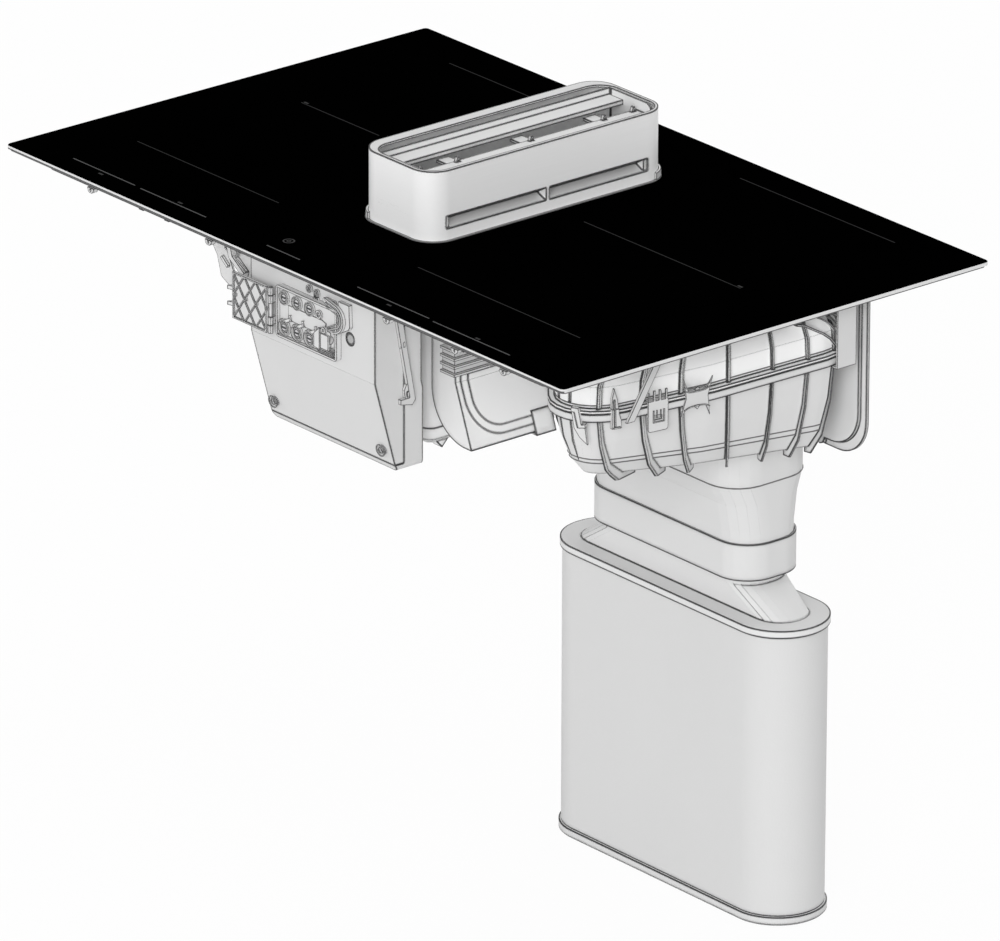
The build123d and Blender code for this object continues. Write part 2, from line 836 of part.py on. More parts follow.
# ---------------------------------------------------------------- electronics case
with BuildPart() as electronics_cover:
    with BuildSketch(Plane.YZ.offset(-case_width / 2)):
        with BuildLine():
            Polyline(
                (case_front, frame_bottom),
                (case_front, frame_bottom - cover_straight),
                (case_front + cover_lean, cover_bottom),
                (case_back, cover_bottom),
                (case_back, frame_bottom),
                close=True,
            )
        make_face()
    extrude(amount=case_width)
    with BuildSketch(Plane.YZ.offset(-case_width / 2 + cover_wall)):
        with BuildLine():
            Polyline(
                (case_front + cover_wall, frame_bottom - cover_wall),
                (case_front + cover_wall, frame_bottom - cover_straight),
                (case_front + cover_lean + cover_wall, cover_bottom + cover_wall),
                (case_back, cover_bottom + cover_wall),
                (case_back, frame_bottom - cover_wall),
                close=True,
            )
        make_face()
    extrude(amount=case_width - 2 * cover_wall, mode=Mode.SUBTRACT)
    with BuildSketch(Plane.XZ.offset(-case_front)):
        with Locations((sight_hole_x, sight_hole_z)):
            Circle(sight_hole_radius)
    extrude(amount=cover_wall * 2, both=True, mode=Mode.SUBTRACT)
finish_part(electronics_cover.part, "electronics_cover")

tray_back = case_back + case_tray_depth
tray_high_back = tray_back - case_tray_step
with BuildPart() as electronics_tray:
    with BuildSketch(Plane.YZ.offset(-case_width / 2)):
        with BuildLine():
            Polyline(
                (case_back, frame_bottom),
                (tray_high_back, frame_bottom),
                (tray_high_back, frame_bottom - case_tray_step_high),
                (tray_back, frame_bottom - case_tray_step_low),
                (tray_back, cover_bottom - case_tray_lip),
                (case_front + cover_lean + case_tray_slope, cover_bottom - case_tray_lip),
                (case_front + cover_lean, cover_bottom),
                (case_back, cover_bottom),
                close=True,
            )
        make_face()
    extrude(amount=case_width)
    with BuildSketch(Plane.YZ.offset(-case_width / 2 + case_tray_wall)):
        with BuildLine():
            Polyline(
                (case_back, frame_bottom - case_tray_wall),
                (tray_high_back - case_tray_wall, frame_bottom - case_tray_wall),
                (tray_high_back - case_tray_wall, cover_bottom),
                (case_back, cover_bottom),
                close=True,
            )
        make_face()
    extrude(amount=case_width - 2 * case_tray_wall, mode=Mode.SUBTRACT)
    corner_edges = electronics_tray.edges().filter_by(Axis.Y).group_by(Axis.Z)[0]
    fillet(corner_edges, case_tray_edge)
finish_part(electronics_tray.part, "electronics_tray")

lean_angle = degrees(atan2(cover_lean, cover_height - cover_straight))
for number, hand in ((1, -1), (2, 1)):
    rise = case_screw_height / (cover_height - cover_straight)
    screw_origin = (
        hand * (case_width / 2 - case_screw_inset_x),
        case_front + cover_lean * (1 - rise),
        cover_bottom + case_screw_height,
    )
    out_of_face = (0, -cos(radians(lean_angle)), -sin(radians(lean_angle)))
    face_plane = Plane(origin=screw_origin, x_dir=(1, 0, 0), z_dir=out_of_face)
    with BuildPart() as case_screw:
        with BuildSketch(face_plane):
            RegularPolygon(case_screw_radius, 2 * small_round_sides)
        extrude(amount=case_screw_head)
        with BuildSketch(face_plane.offset(case_screw_head)):
            RegularPolygon(case_screw_radius * 0.45, 6)
        extrude(amount=-case_screw_head * 0.6, mode=Mode.SUBTRACT)
    finish_part(case_screw.part, "case_screw_" + str(number))

# circuit board across the case, with a heat sink and two capacitors on it
board_z = frame_bottom - cover_height / 2
board_width = case_width - 2 * board_side_gap
with BuildPart() as power_board:
    with BuildSketch(Plane.XZ.offset(-case_back)):
        with Locations((0, board_z)):
            Rectangle(board_width, board_height)
    extrude(amount=board_thickness)
    with BuildSketch(Plane.XZ.offset(-case_back)):
        with Locations((sink_x, board_z)):
            Rectangle(sink_width, sink_height)
        with Locations(*[(place, board_z) for place in capacitor_places]):
            RegularPolygon(capacitor_radius, 2 * small_round_sides)
    extrude(amount=board_parts_depth)
finish_part(power_board.part, "power_board")

# ---------------------------------------------------------------- mains terminal
terminal_x = terminal_left + terminal_width / 2
terminal_z = terminal_top - terminal_height / 2
front_plane = Plane.XZ.offset(-case_front)
with BuildPart() as terminal_frame:
    with BuildSketch(front_plane):
        with Locations((terminal_x, terminal_z)):
            RectangleRounded(terminal_width, terminal_height, terminal_corner)
            Rectangle(
                terminal_width - 2 * terminal_frame_wall,
                terminal_height - 2 * terminal_frame_wall,
                mode=Mode.SUBTRACT,
            )
    extrude(amount=terminal_frame_height)
finish_part(terminal_frame.part, "terminal_frame")

inside_width = terminal_width - 2 * (terminal_frame_wall + terminal_fit)
inside_height = terminal_height - 2 * (terminal_frame_wall + terminal_fit)
block_base = terminal_block_depth - terminal_ring_height
screw_x = [terminal_left + terminal_screw_inset + number * terminal_screw_pitch for number in range(3)]
screw_z = [terminal_z + terminal_screw_row_gap / 2, terminal_z - terminal_screw_row_gap / 2]
screw_places = [(x, z) for z in screw_z for x in screw_x]
with BuildPart() as terminal_block:
    with BuildSketch(front_plane):
        with Locations((terminal_x, terminal_z)):
            Rectangle(inside_width, inside_height)
    extrude(amount=block_base)
    with BuildSketch(front_plane.offset(block_base)):
        with Locations(*screw_places):
            RegularPolygon(terminal_screw_radius + terminal_ring_wall, small_round_sides)
            RegularPolygon(terminal_screw_radius, small_round_sides, mode=Mode.SUBTRACT)
    extrude(amount=terminal_ring_height)
finish_part(terminal_block.part, "terminal_block")

for number, place in enumerate(screw_places, 1):
    with BuildPart() as terminal_screw:
        with BuildSketch(front_plane.offset(block_base)):
            with Locations(place):
                RegularPolygon(terminal_screw_radius - terminal_fit, small_round_sides)
        extrude(amount=terminal_screw_head)
        with BuildSketch(front_plane.offset(block_base + terminal_screw_head)):
            with Locations(place):
                Rectangle(terminal_slot_length, terminal_slot_width)
        extrude(amount=-terminal_slot_width, mode=Mode.SUBTRACT)
    finish_part(terminal_screw.part, "terminal_screw_" + str(number))

clamp_x = terminal_left + terminal_width - terminal_frame_wall - clamp_width / 2 - clamp_inset
clamp_z = terminal_z - clamp_drop
with BuildPart() as cord_clamp:
    with BuildSketch(front_plane.offset(block_base)):
        with Locations((clamp_x, clamp_z)):
            RectangleRounded(clamp_width, clamp_height, clamp_corner)
    extrude(amount=clamp_depth)
    with BuildSketch(Plane.YZ.offset(clamp_x - clamp_width)):
        with Locations((case_front - block_base - clamp_depth - clamp_inset, clamp_z)):
            Circle(cord_radius)
    extrude(amount=2 * clamp_width, mode=Mode.SUBTRACT)
finish_part(cord_clamp.part, "cord_clamp")

# hinged terminal lid, shown swung open to the left, with lattice ribs on its inside
lid_top = terminal_top - lid_below_top
lid_bottom = lid_top - lid_height
lid_middle = (lid_top + lid_bottom) / 2
hinge_spans = (
    (lid_top - 2 * lid_knuckle_length - lid_gap, lid_knuckle_length),
    (lid_bottom + lid_knuckle_length + lid_gap, lid_knuckle_length),
)
with BuildPart() as lid_hinge:
    # fixed knuckles on the case with the pins that stand out of them
    for start, length in hinge_spans:
        with BuildSketch(Plane.XY.offset(start)):
            with Locations((lid_axis_x, lid_axis_y)):
                RegularPolygon(lid_knuckle, small_round_sides)
            with Locations((lid_axis_x, (lid_axis_y + case_front) / 2)):
                Rectangle(lid_web, case_front - lid_axis_y)
        extrude(amount=length)
    with BuildSketch(Plane.XY.offset(lid_bottom)):
        with Locations((lid_axis_x, lid_axis_y)):
            Circle(lid_pin_radius)
    extrude(amount=lid_height)
finish_part(lid_hinge.part, "lid_hinge")

lid_face_y = lid_axis_y - lid_offset
plate_left = lid_axis_x - lid_width
plate_right = lid_axis_x - lid_knuckle - lid_gap
plate_width = plate_right - plate_left
plate_x = (plate_left + plate_right) / 2
with BuildPart() as terminal_lid:
    with BuildSketch(Plane.XY.offset(lid_bottom)):
        with Locations((plate_x, lid_face_y)):
            Rectangle(plate_width, lid_wall)
    extrude(amount=lid_height)
    for start in (lid_top - lid_knuckle_length, lid_bottom):
        with BuildSketch(Plane.XY.offset(start)):
            with Locations((lid_axis_x, lid_axis_y)):
                RegularPolygon(lid_knuckle, small_round_sides)
            with Locations((lid_axis_x - lid_knuckle, lid_face_y)):
                Rectangle(2 * lid_knuckle, lid_wall)
        extrude(amount=lid_knuckle_length)
        with BuildSketch(Plane.XY.offset(start)):
            with Locations((lid_axis_x, lid_axis_y)):
                Circle(lid_pin_radius + lid_pin_clearance)
        extrude(amount=lid_knuckle_length, mode=Mode.SUBTRACT)
    # raised border and crossing diagonal ribs on the inner face
    inner_face = Plane.XZ.offset(-(lid_face_y - lid_wall / 2))
    with BuildSketch(inner_face):
        with Locations((plate_x, lid_middle)):
            Rectangle(plate_width, lid_height)
            Rectangle(plate_width - 2 * lid_rib, lid_height - 2 * lid_rib, mode=Mode.SUBTRACT)
    extrude(amount=lid_rib)
    lattice_pitch = plate_width / lid_lattice
    lattice_angle = degrees(atan2(lid_height, 2 * lattice_pitch))
    lattice_length = lid_height / sin(radians(lattice_angle)) + 4
    with BuildSketch(inner_face):
        for turn in (lattice_angle, -lattice_angle):
            for number in range(-1, lid_lattice + 2):
                with Locations((plate_left + number * lattice_pitch, lid_middle)):
                    Rectangle(lattice_length, lid_rib * 0.7, rotation=turn)
        with Locations((plate_x, lid_middle)):
            Rectangle(plate_width, lid_height, mode=Mode.INTERSECT)
    extrude(amount=lid_rib)
    # two latch tongues on the free edge
    for tongue_z in (lid_middle + lid_tongue_above, lid_middle - lid_tongue_below):
        with BuildSketch(Plane.XY.offset(tongue_z)):
            with BuildLine():
                Polyline(
                    (plate_left + 0.5, lid_face_y - lid_wall / 2),
                    (plate_left - lid_tongue, lid_face_y - lid_wall / 2 - lid_tongue_slope),
                    (plate_left - lid_tongue + lid_tongue_slope, lid_face_y + lid_wall / 2),
                    (plate_left + 0.5, lid_face_y + lid_wall / 2),
                    close=True,
                )
            make_face()
        extrude(amount=lid_tongue_height)
finish_part(terminal_lid.part, "terminal_lid")

# ---------------------------------------------------------------- small parts round the case
bracket_y = case_front + bracket_setback


def beside_case(points):
    """Turn distances out from the case's left side and down from the frame into X and Z."""
    return [(-case_width / 2 - out, frame_bottom - down) for out, down in points]


with BuildPart() as cable_bracket:
    # a gusset plate with a deeper rim along its outer edge
    with BuildSketch(Plane.XZ.offset(-bracket_y - bracket_thickness)):
        with BuildLine():
            Polyline(*beside_case(bracket_outline), close=True)
        make_face()
    extrude(amount=bracket_thickness)
    with BuildSketch(Plane.XZ.offset(-bracket_y - bracket_thickness)):
        with BuildLine():
            Polyline(*beside_case(bracket_rim), close=True)
        make_face()
    extrude(amount=bracket_rim_depth)
finish_part(cable_bracket.part, "cable_bracket")

strap_x = case_width / 2
with BuildPart() as side_strap:
    # hooked strap on the case's right side
    with BuildSketch(Plane.YZ.offset(strap_x)):
        with BuildLine():
            Polyline(
                *[(case_front + behind, frame_bottom - down) for behind, down in strap_outline],
                close=True,
            )
        make_face()
    extrude(amount=side_strap_thickness)
finish_part(side_strap.part, "side_strap")

# ---------------------------------------------------------------- duct from the well to the fan
duct_left = well_side
duct_bottom = frame_bottom - duct_depth
duct_top = frame_bottom - well_wall
duct_length = duct_back - duct_front


knee_z = frame_bottom - duct_knee
wall_slope = (duct_foot_right - duct_right) / (knee_z - duct_bottom)


def leaning_side(z):
    """Give the X of the duct's leaning right side at this height."""
    return duct_right + max(knee_z - z, 0) * wall_slope


def duct_profile(inset, y):
    """Draw the duct's front view at this y, set in by inset: one round corner, one leaning side."""
    left = duct_left + inset
    right = duct_right - inset
    top = duct_top - inset
    bottom = duct_bottom + inset
    stretch = (1 + wall_slope ** 2) ** 0.5
    knee = (right, knee_z - inset * (stretch - 1) / wall_slope)
    foot = (leaning_side(bottom) - inset * stretch, bottom)
    arc_top = (left, duct_bottom + duct_corner)
    arc_foot = (duct_left + duct_corner, bottom)
    with BuildSketch(Plane.XZ.offset(-y)) as profile:
        with BuildLine():
            Line((left, top), arc_top)
            RadiusArc(arc_top, arc_foot, inset - duct_corner)
            Line(arc_foot, foot)
            Line(foot, knee)
            Line(knee, (right, top))
            Line((right, top), (left, top))
        make_face()
    return profile.sketch


def raised_panel(inset, proud):
    """Make a plate that stands proud of the right side, inset from its front and foot."""
    high = frame_bottom - duct_panel_top
    low = frame_bottom - duct_panel_bottom + inset
    front = duct_front + duct_panel_inset + inset
    with BuildPart() as plate:
        with BuildSketch(Plane.XZ.offset(-duct_back)):
            with BuildLine():
                Polyline(
                    (duct_right - duct_wall / 2, high),
                    (duct_right + proud, high),
                    (duct_right + proud, knee_z),
                    (leaning_side(low) + proud, low),
                    (leaning_side(low) - duct_wall / 2, low),
                    (duct_right - duct_wall / 2, knee_z),
                    close=True,
                )
            make_face()
        extrude(amount=duct_back - front)
        with BuildSketch(Plane.YZ.offset(duct_left)) as outline:
            with BuildLine():
                Polyline((front, high), (duct_back, high), (duct_back, low), (front, low), close=True)
            make_face()
            front_foot = outline.vertices().group_by(Axis.X)[0].sort_by(Axis.Y)[0]
            fillet(front_foot, duct_panel_corner - inset)
        extrude(amount=duct_length, mode=Mode.INTERSECT)
    return plate.part


window_y = (window_front + window_back) / 2
window_z = (window_top + window_bottom) / 2
window_length = window_back - window_front
window_height = window_top - window_bottom
neck_y = (neck_front + neck_back) / 2
neck_width = neck_back - neck_front
neck_z = neck_top - neck_height / 2
with BuildPart() as transfer_duct:
    extrude(duct_profile(0, duct_back), amount=duct_length)
    add(raised_panel(0, duct_panel_raise))
    add(raised_panel(duct_panel_step, 2 * duct_panel_raise))
    hollow = duct_profile(duct_wall, duct_back - duct_wall)
    extrude(hollow, amount=duct_length - 2 * duct_wall, mode=Mode.SUBTRACT)
    with BuildSketch(Plane.YZ.offset(duct_left - duct_wall)):
        with Locations((window_y, window_z)):
            Rectangle(window_length, window_height)
    extrude(amount=3 * duct_wall, mode=Mode.SUBTRACT)
    with BuildSketch(Plane.YZ.offset(duct_right - 2 * duct_wall)):
        with Locations((neck_y, neck_z)):
            Rectangle(neck_width, neck_height)
    extrude(amount=3 * duct_wall, mode=Mode.SUBTRACT)
finish_part(transfer_duct.part, "transfer_duct")

with BuildPart() as duct_neck:
    with BuildSketch(Plane.YZ.offset(duct_right)):
        with Locations((neck_y, neck_z)):
            Rectangle(neck_width, neck_height)
    extrude(amount=neck_end - duct_right)
    with BuildSketch(Plane.YZ.offset(duct_right)):
        with Locations((neck_y, neck_z)):
            Rectangle(neck_width + 2 * neck_flange, neck_height + 2 * neck_flange)
    extrude(amount=duct_wall)
    with BuildSketch(Plane.YZ.offset(duct_right)):
        with Locations((neck_y, neck_z)):
            Rectangle(neck_width - 2 * air_wall, neck_height - 2 * air_wall)
    extrude(amount=neck_end - duct_right, mode=Mode.SUBTRACT)
finish_part(duct_neck.part, "duct_neck")

# clamp round the duct's foot, near its back end
with BuildPart() as duct_clip:
    clip_high = frame_bottom - duct_clip_top
    lip_high = duct_bottom - seat_gap
    lip_low = lip_high - clip_wall_thickness
    clip_inside = 2 * duct_panel_raise + duct_clip_gap
    clip_outside = clip_inside + clip_wall_thickness
    with BuildSketch(Plane.XZ.offset(-duct_clip_front - duct_clip_length)):
        with BuildLine():
            Polyline(
                (leaning_side(clip_high) + clip_inside, clip_high),
                (leaning_side(clip_high) + clip_outside, clip_high),
                (leaning_side(lip_low) + clip_outside, lip_low),
                (duct_foot_right - duct_clip_lip, lip_low),
                (duct_foot_right - duct_clip_lip, lip_high),
                (leaning_side(lip_high) + clip_inside, lip_high),
                close=True,
            )
        make_face()
    extrude(amount=duct_clip_length)
finish_part(duct_clip.part, "duct_clip")


def round_the_corner(z, reach):
    """Draw a level angle piece of this reach that lies on the duct's front and right side."""
    with BuildSketch(Plane.XY.offset(z)) as angle:
        with BuildLine():
            Polyline(
                (plug_left, duct_front),
                (plug_left, duct_front - reach),
                (duct_right + reach, duct_front - reach),
                (duct_right + reach, plug_back),
                (duct_right, plug_back),
                (duct_right, duct_front),
                close=True,
            )
        make_face()
    return angle.sketch


# multi-way plug with fins, seated round the duct's front edge
plug_height = (plug_fins - 1) * plug_pitch + plug_fin
with BuildPart() as cable_plug:
    extrude(round_the_corner(plug_top - plug_height, plug_reach), amount=plug_height)
    for number in range(plug_fins):
        fin_z = plug_top - plug_fin - number * plug_pitch
        extrude(round_the_corner(fin_z, plug_fin_reach), amount=plug_fin)
finish_part(cable_plug.part, "cable_plug")

# ---------------------------------------------------------------- fan housing
housing_front = min(y for x, y in housing_points)
housing_back = max(y for x, y in housing_points)
housing_run = housing_back - housing_front
body_inset = seam_width
shell_top = frame_bottom
shell_rise_height = shell_top - seam_z


def housing_outline(plane, inset, stretch=1.0, facet=shell_facet):
    """Draw the housing's outline on a plane whose origin lies over its front tip, set in by inset."""
    with BuildSketch(plane) as outline:
        with BuildLine():
            Polyline(
                *[
                    (x, (y - housing_front) * stretch)
                    for x, y in rounded_points(housing_points, shell_corner, inset, facet)
                ],
                close=True,
            )
        make_face()
    return outline.sketch


def level_plane(z):
    """Give a level plane whose origin lies over the housing's front tip."""
    return Plane(origin=(0, housing_front, z), x_dir=(1, 0, 0), z_dir=(0, 0, 1))


def bowl_plane(front_depth, back_depth):
    """Give the sloping plane that lies these depths below the seam at the front and the back."""
    fall = back_depth - front_depth
    origin = (0, housing_front, seam_z - front_depth)
    return Plane(origin=origin, x_dir=(1, 0, 0), z_dir=(0, fall, housing_run))


def bowl_sections(inset, deeper, facet=shell_facet):
    """List the lower shell's outlines from the seam down, all set in by inset and deeper by deeper."""
    sections = []
    for share, narrower in bowl_fall:
        front_depth = share * (bowl_front_depth + deeper)
        back_depth = share * (bowl_back_depth + deeper)
        slope = (back_depth - front_depth) / housing_run
        plane = bowl_plane(front_depth, back_depth)
        stretch = (1 + slope * slope) ** 0.5
        sections.append(housing_outline(plane, inset + narrower, stretch, facet))
    return sections


def crown_sections(inset, lower, facet=shell_facet):
    """List the upper shell's outlines from the seam up, set in by inset and lower by lower."""
    height = shell_rise_height - lower
    return [
        housing_outline(level_plane(seam_z + share * height), inset + narrower, facet=facet)
        for share, narrower in shell_rise
    ]


def rib_blades(low, high, angles):
    """Make the upright plates that become the ribs, fanned about the ribs' centre."""
    middle_points = [
        (rib_x + (x - rib_x) * rib_reach, rib_y + (y - rib_y) * rib_reach)
        for x, y in housing_points
    ]
    with BuildPart() as blades:
        with BuildSketch(Plane.XY.offset(low)):
            with Locations((rib_x, rib_y)):
                for angle in angles:
                    Rectangle(housing_run, rib_thickness, rotation=angle, align=(Align.MIN, Align.CENTER))
            with BuildLine():
                Polyline(*middle_points, close=True)
            make_face(mode=Mode.SUBTRACT)
        extrude(amount=high - low)
    return blades.part


bowl_low = seam_z - bowl_back_depth - rib_drop - 5
with BuildPart() as bowl_ribs:
    loft(bowl_sections(body_inset - rib_height, rib_drop), ruled=True)
    add(rib_blades(bowl_low, seam_z, near_ribs + far_ribs), mode=Mode.INTERSECT)

with BuildPart() as air_housing_lower:
    loft(bowl_sections(body_inset, 0), ruled=True)
    add(bowl_ribs.part)
    extrude(housing_outline(level_plane(seam_z - seam_skirt), 0), amount=seam_skirt)
    cavity = bowl_sections(body_inset + shell_wall, -shell_wall, cavity_facet)
    loft(cavity, ruled=True, mode=Mode.SUBTRACT)
    with BuildSketch(Plane.XY.offset(adapter_top - 30)):
        with Locations((duct_x, duct_y)):
            RectangleRounded(
                adapter_width + 2 * sleeve_fit, adapter_depth + 2 * sleeve_fit, adapter_corner + sleeve_fit
            )
    extrude(amount=60, mode=Mode.SUBTRACT)
    with BuildSketch(Plane.YZ.offset(duct_right)):
        with Locations((neck_y, neck_z)):
            Rectangle(neck_width + 2 * neck_fit, neck_height + 2 * neck_fit)
    extrude(amount=neck_end + neck_fit - duct_right, mode=Mode.SUBTRACT)
finish_part(air_housing_lower.part, "air_housing_lower")

with BuildPart() as crown_ribs:
    loft(crown_sections(body_inset - rib_height, 0), ruled=True)
    add(rib_blades(seam_z, shell_top - 6, near_ribs + far_ribs), mode=Mode.INTERSECT)

with BuildPart() as air_housing_upper:
    loft(crown_sections(body_inset, 0), ruled=True)
    add(crown_ribs.part)
    extrude(housing_outline(level_plane(seam_z), 0), amount=seam_thickness)
    vault = crown_sections(body_inset + shell_wall, shell_wall, cavity_facet)
    loft(vault, ruled=True, mode=Mode.SUBTRACT)
finish_part(air_housing_upper.part, "air_housing_upper")

# rear cover of three stepped plates with rounded lower corners
with BuildPart() as end_cover:
    for layer, (step, start) in enumerate(((1.5, 0), (0, 1), (1, 2))):
        right = end_cover_right - step * end_cover_step
        left = end_cover_left + step * end_cover_step
        bottom = end_cover_bottom + step * end_cover_step
        plate_y = housing_back + start * end_cover_layer
        with BuildSketch(Plane.XZ.offset(-plate_y - end_cover_layer)):
            with Locations(((left + right) / 2, (frame_bottom + bottom) / 2)):
                RectangleRounded(right - left, frame_bottom - bottom, end_cover_corner)
            with Locations(((left + right) / 2, frame_bottom - end_cover_corner / 2)):
                Rectangle(right - left, end_cover_corner)
        extrude(amount=end_cover_layer)
    with BuildSketch(Plane.XZ.offset(-housing_back)):
        with Locations((cover_boss_x, end_cover_bottom + cover_boss_radius)):
            RegularPolygon(cover_boss_radius, small_round_sides)
    extrude(amount=-cover_boss_length)
finish_part(end_cover.part, "end_cover")

# ---------------------------------------------------------------- clips and stays on the seam
near_start, near_finish = housing_points[2], housing_points[3]
near_turn = degrees(atan2(near_finish[1] - near_start[1], near_finish[0] - near_start[0]))


def seam_plane(y, z):
    """Give a plane on the seam's near edge at this y: X points out of the edge, Y runs along it."""
    share = (y - near_start[1]) / (near_finish[1] - near_start[1])
    x = near_start[0] + share * (near_finish[0] - near_start[0])
    out = (sin(radians(near_turn)), -cos(radians(near_turn)), 0)
    return Plane(origin=(x, y, z), x_dir=out, z_dir=(0, 0, 1))


seam_top = seam_z + seam_thickness
seam_low = seam_z - seam_skirt
grip = clip_grip
wall = clip_wall_thickness


def grip_block(y, width):
    """Make the C-shaped grip that holds the two seam flanges together."""
    with BuildPart() as block:
        with BuildSketch(seam_plane(y, seam_low - wall)):
            with Locations((wall + seat_gap - grip / 2 - wall / 2, 0)):
                Rectangle(grip + wall, width)
        extrude(amount=seam_top - seam_low + 2 * wall)
        with BuildSketch(seam_plane(y, seam_low)):
            with Locations((seat_gap - grip, 0)):
                Rectangle(2 * grip, width + 2)
        extrude(amount=seam_top - seam_low, mode=Mode.SUBTRACT)
    return block.part


def upright_plane(y):
    """Give the upright plane just outside the seam at this y: X runs along the seam, Y is up."""
    level = seam_plane(y, seam_z)
    origin = level.origin + level.x_dir * (wall + seat_gap)
    return Plane(origin=origin, x_dir=-level.y_dir, z_dir=-level.x_dir)


with BuildPart() as seam_latch:
    add(grip_block(latch_y, latch_width))
    with BuildSketch(upright_plane(latch_y)):
        with Locations((0, -latch_drop / 2 - seam_thickness + 1)):
            RectangleRounded(latch_width, latch_drop + 2, 3)
        with Locations((0, -latch_drop * 0.4)):
            Rectangle(latch_width * 0.36, latch_drop * 0.45, mode=Mode.SUBTRACT)
        with Locations((-9, 9), (-2, 9), (4, 9)):
            Rectangle(2.0, 12)
    extrude(amount=wall)
finish_part(seam_latch.part, "seam_latch")

with BuildPart() as star_clip:
    add(grip_block(star_y, star_width))
    half = star_width / 2
    rise = star_reach + seam_thickness
    with BuildSketch(upright_plane(star_y)):
        with BuildLine():
            Polyline(
                (-half - 5, rise),
                (-half + 3, seam_thickness + 2),
                (half - 3, seam_thickness + 2),
                (half + 3, rise + 3),
                (half, 0),
                (half + 6, -rise),
                (half - 4, -seam_thickness - 3),
                (-half + 4, -seam_thickness - 3),
                (-half - 2, -rise - 3),
                (-half, 0),
                close=True,
            )
        make_face()
    extrude(amount=wall)
finish_part(star_clip.part, "star_clip")

def seam_hook(angle, width, up, down):
    """Make a clip that laps the seam's rim at this angle and reaches up and down its outside."""
    low, high = seam_low - wall, seam_top + wall
    with BuildPart() as hook:
        ring = housing_outline(level_plane(low - down), -seat_gap - wall)
        extrude(ring, amount=high + up - low + down)
        core = housing_outline(level_plane(low - down), -seat_gap)
        extrude(core, amount=down, mode=Mode.SUBTRACT)
        rim = housing_outline(level_plane(seam_low), -seat_gap)
        extrude(rim, amount=seam_top - seam_low, mode=Mode.SUBTRACT)
        crest = housing_outline(level_plane(high), -seat_gap)
        extrude(crest, amount=up, mode=Mode.SUBTRACT)
        middle = housing_outline(level_plane(low), hook_lap)
        extrude(middle, amount=high - low, mode=Mode.SUBTRACT)
        with BuildSketch(Plane.XY.offset(low - down)):
            with Locations((rib_x, rib_y)):
                Rectangle(housing_run, width, rotation=angle, align=(Align.MIN, Align.CENTER))
        extrude(amount=high + up - low + down, mode=Mode.INTERSECT)
    return hook.part


with BuildPart() as corner_clip:
    add(seam_hook(corner_clip_angle, corner_clip_width, corner_clip_up, corner_clip_down))
finish_part(corner_clip.part, "corner_clip")

with BuildPart() as rib_clip:
    add(seam_hook(rib_clip_angle, rib_clip_width, rib_clip_up, rib_clip_down))
finish_part(rib_clip.part, "rib_clip")

with BuildPart() as brace_strut:
    # flat stay from the frame's side down to the seam
    stay_x = frame_width / 2
    with BuildSketch(Plane.YZ.offset(stay_x)):
        with BuildLine():
            Polyline(
                (brace_top_y - brace_width / 2, 0),
                (brace_top_y + brace_width / 2, 0),
                (brace_top_y + brace_width / 2, frame_bottom),
                (brace_foot_y + brace_width / 2, seam_low),
                (brace_foot_y - brace_width / 2, seam_low),
                (brace_top_y - brace_width / 2, frame_bottom),
                close=True,
            )
        make_face()
    extrude(amount=brace_thickness)
finish_part(brace_strut.part, "brace_strut")

strap_foot_left = strap_outer_x - strap_foot
with BuildPart() as hanger_strap:
    # strap that carries the housing: bent over at the frame and under the seam
    with BuildSketch(Plane.XZ.offset(-strap_middle_y - strap_width / 2)):
        with BuildLine():
            Polyline(
                (stay_x, 0),
                (strap_outer_x, 0),
                (strap_outer_x, seam_low - strap_thickness),
                (strap_foot_left, seam_low - strap_thickness),
                (strap_foot_left, seam_low),
                (strap_outer_x - strap_thickness, seam_low),
                (strap_outer_x - strap_thickness, -strap_thickness),
                (stay_x, -strap_thickness),
                close=True,
            )
        make_face()
    extrude(amount=strap_width)
finish_part(hanger_strap.part, "hanger_strap")

# ---------------------------------------------------------------- fan
with BuildPart() as fan_motor:
    motor_seat = shell_top - shell_wall
    with BuildSketch(Plane.XY.offset(motor_seat)):
        with Locations((fan_x, fan_y)):
            RegularPolygon(motor_radius, wheel_sides)
    extrude(amount=-motor_height)
    chamfer(fan_motor.faces().sort_by(Axis.Z)[0].edges(), motor_edge)
    with BuildSketch(Plane.XY.offset(motor_seat - motor_height)):
        with Locations((fan_x, fan_y)):
            Circle(shaft_radius)
    extrude(amount=impeller_top - impeller_hub_height - (motor_seat - motor_height))
finish_part(fan_motor.part, "fan_motor")

blade_outer_radius = impeller_radius - blade_rim_gap
blade_length = impeller_height - 2 * impeller_plate
with BuildSketch() as blade:
    # one forward-curved blade, a bent strip between the inner and outer circles
    inner_point = Vector(blade_inner_radius + blade_lap, 0)
    outer_point = Vector(blade_outer_radius, 0).rotate(Axis.Z, blade_sweep)
    middle_point = (inner_point + outer_point) * 0.5 + Vector(blade_bow, -blade_bow)
    thick = Vector(-blade_wall, blade_wall) * sin(radians(45))
    with BuildLine():
        Polyline(
            inner_point,
            middle_point,
            outer_point,
            outer_point + thick,
            middle_point + thick,
            inner_point + thick,
            close=True,
        )
    make_face()

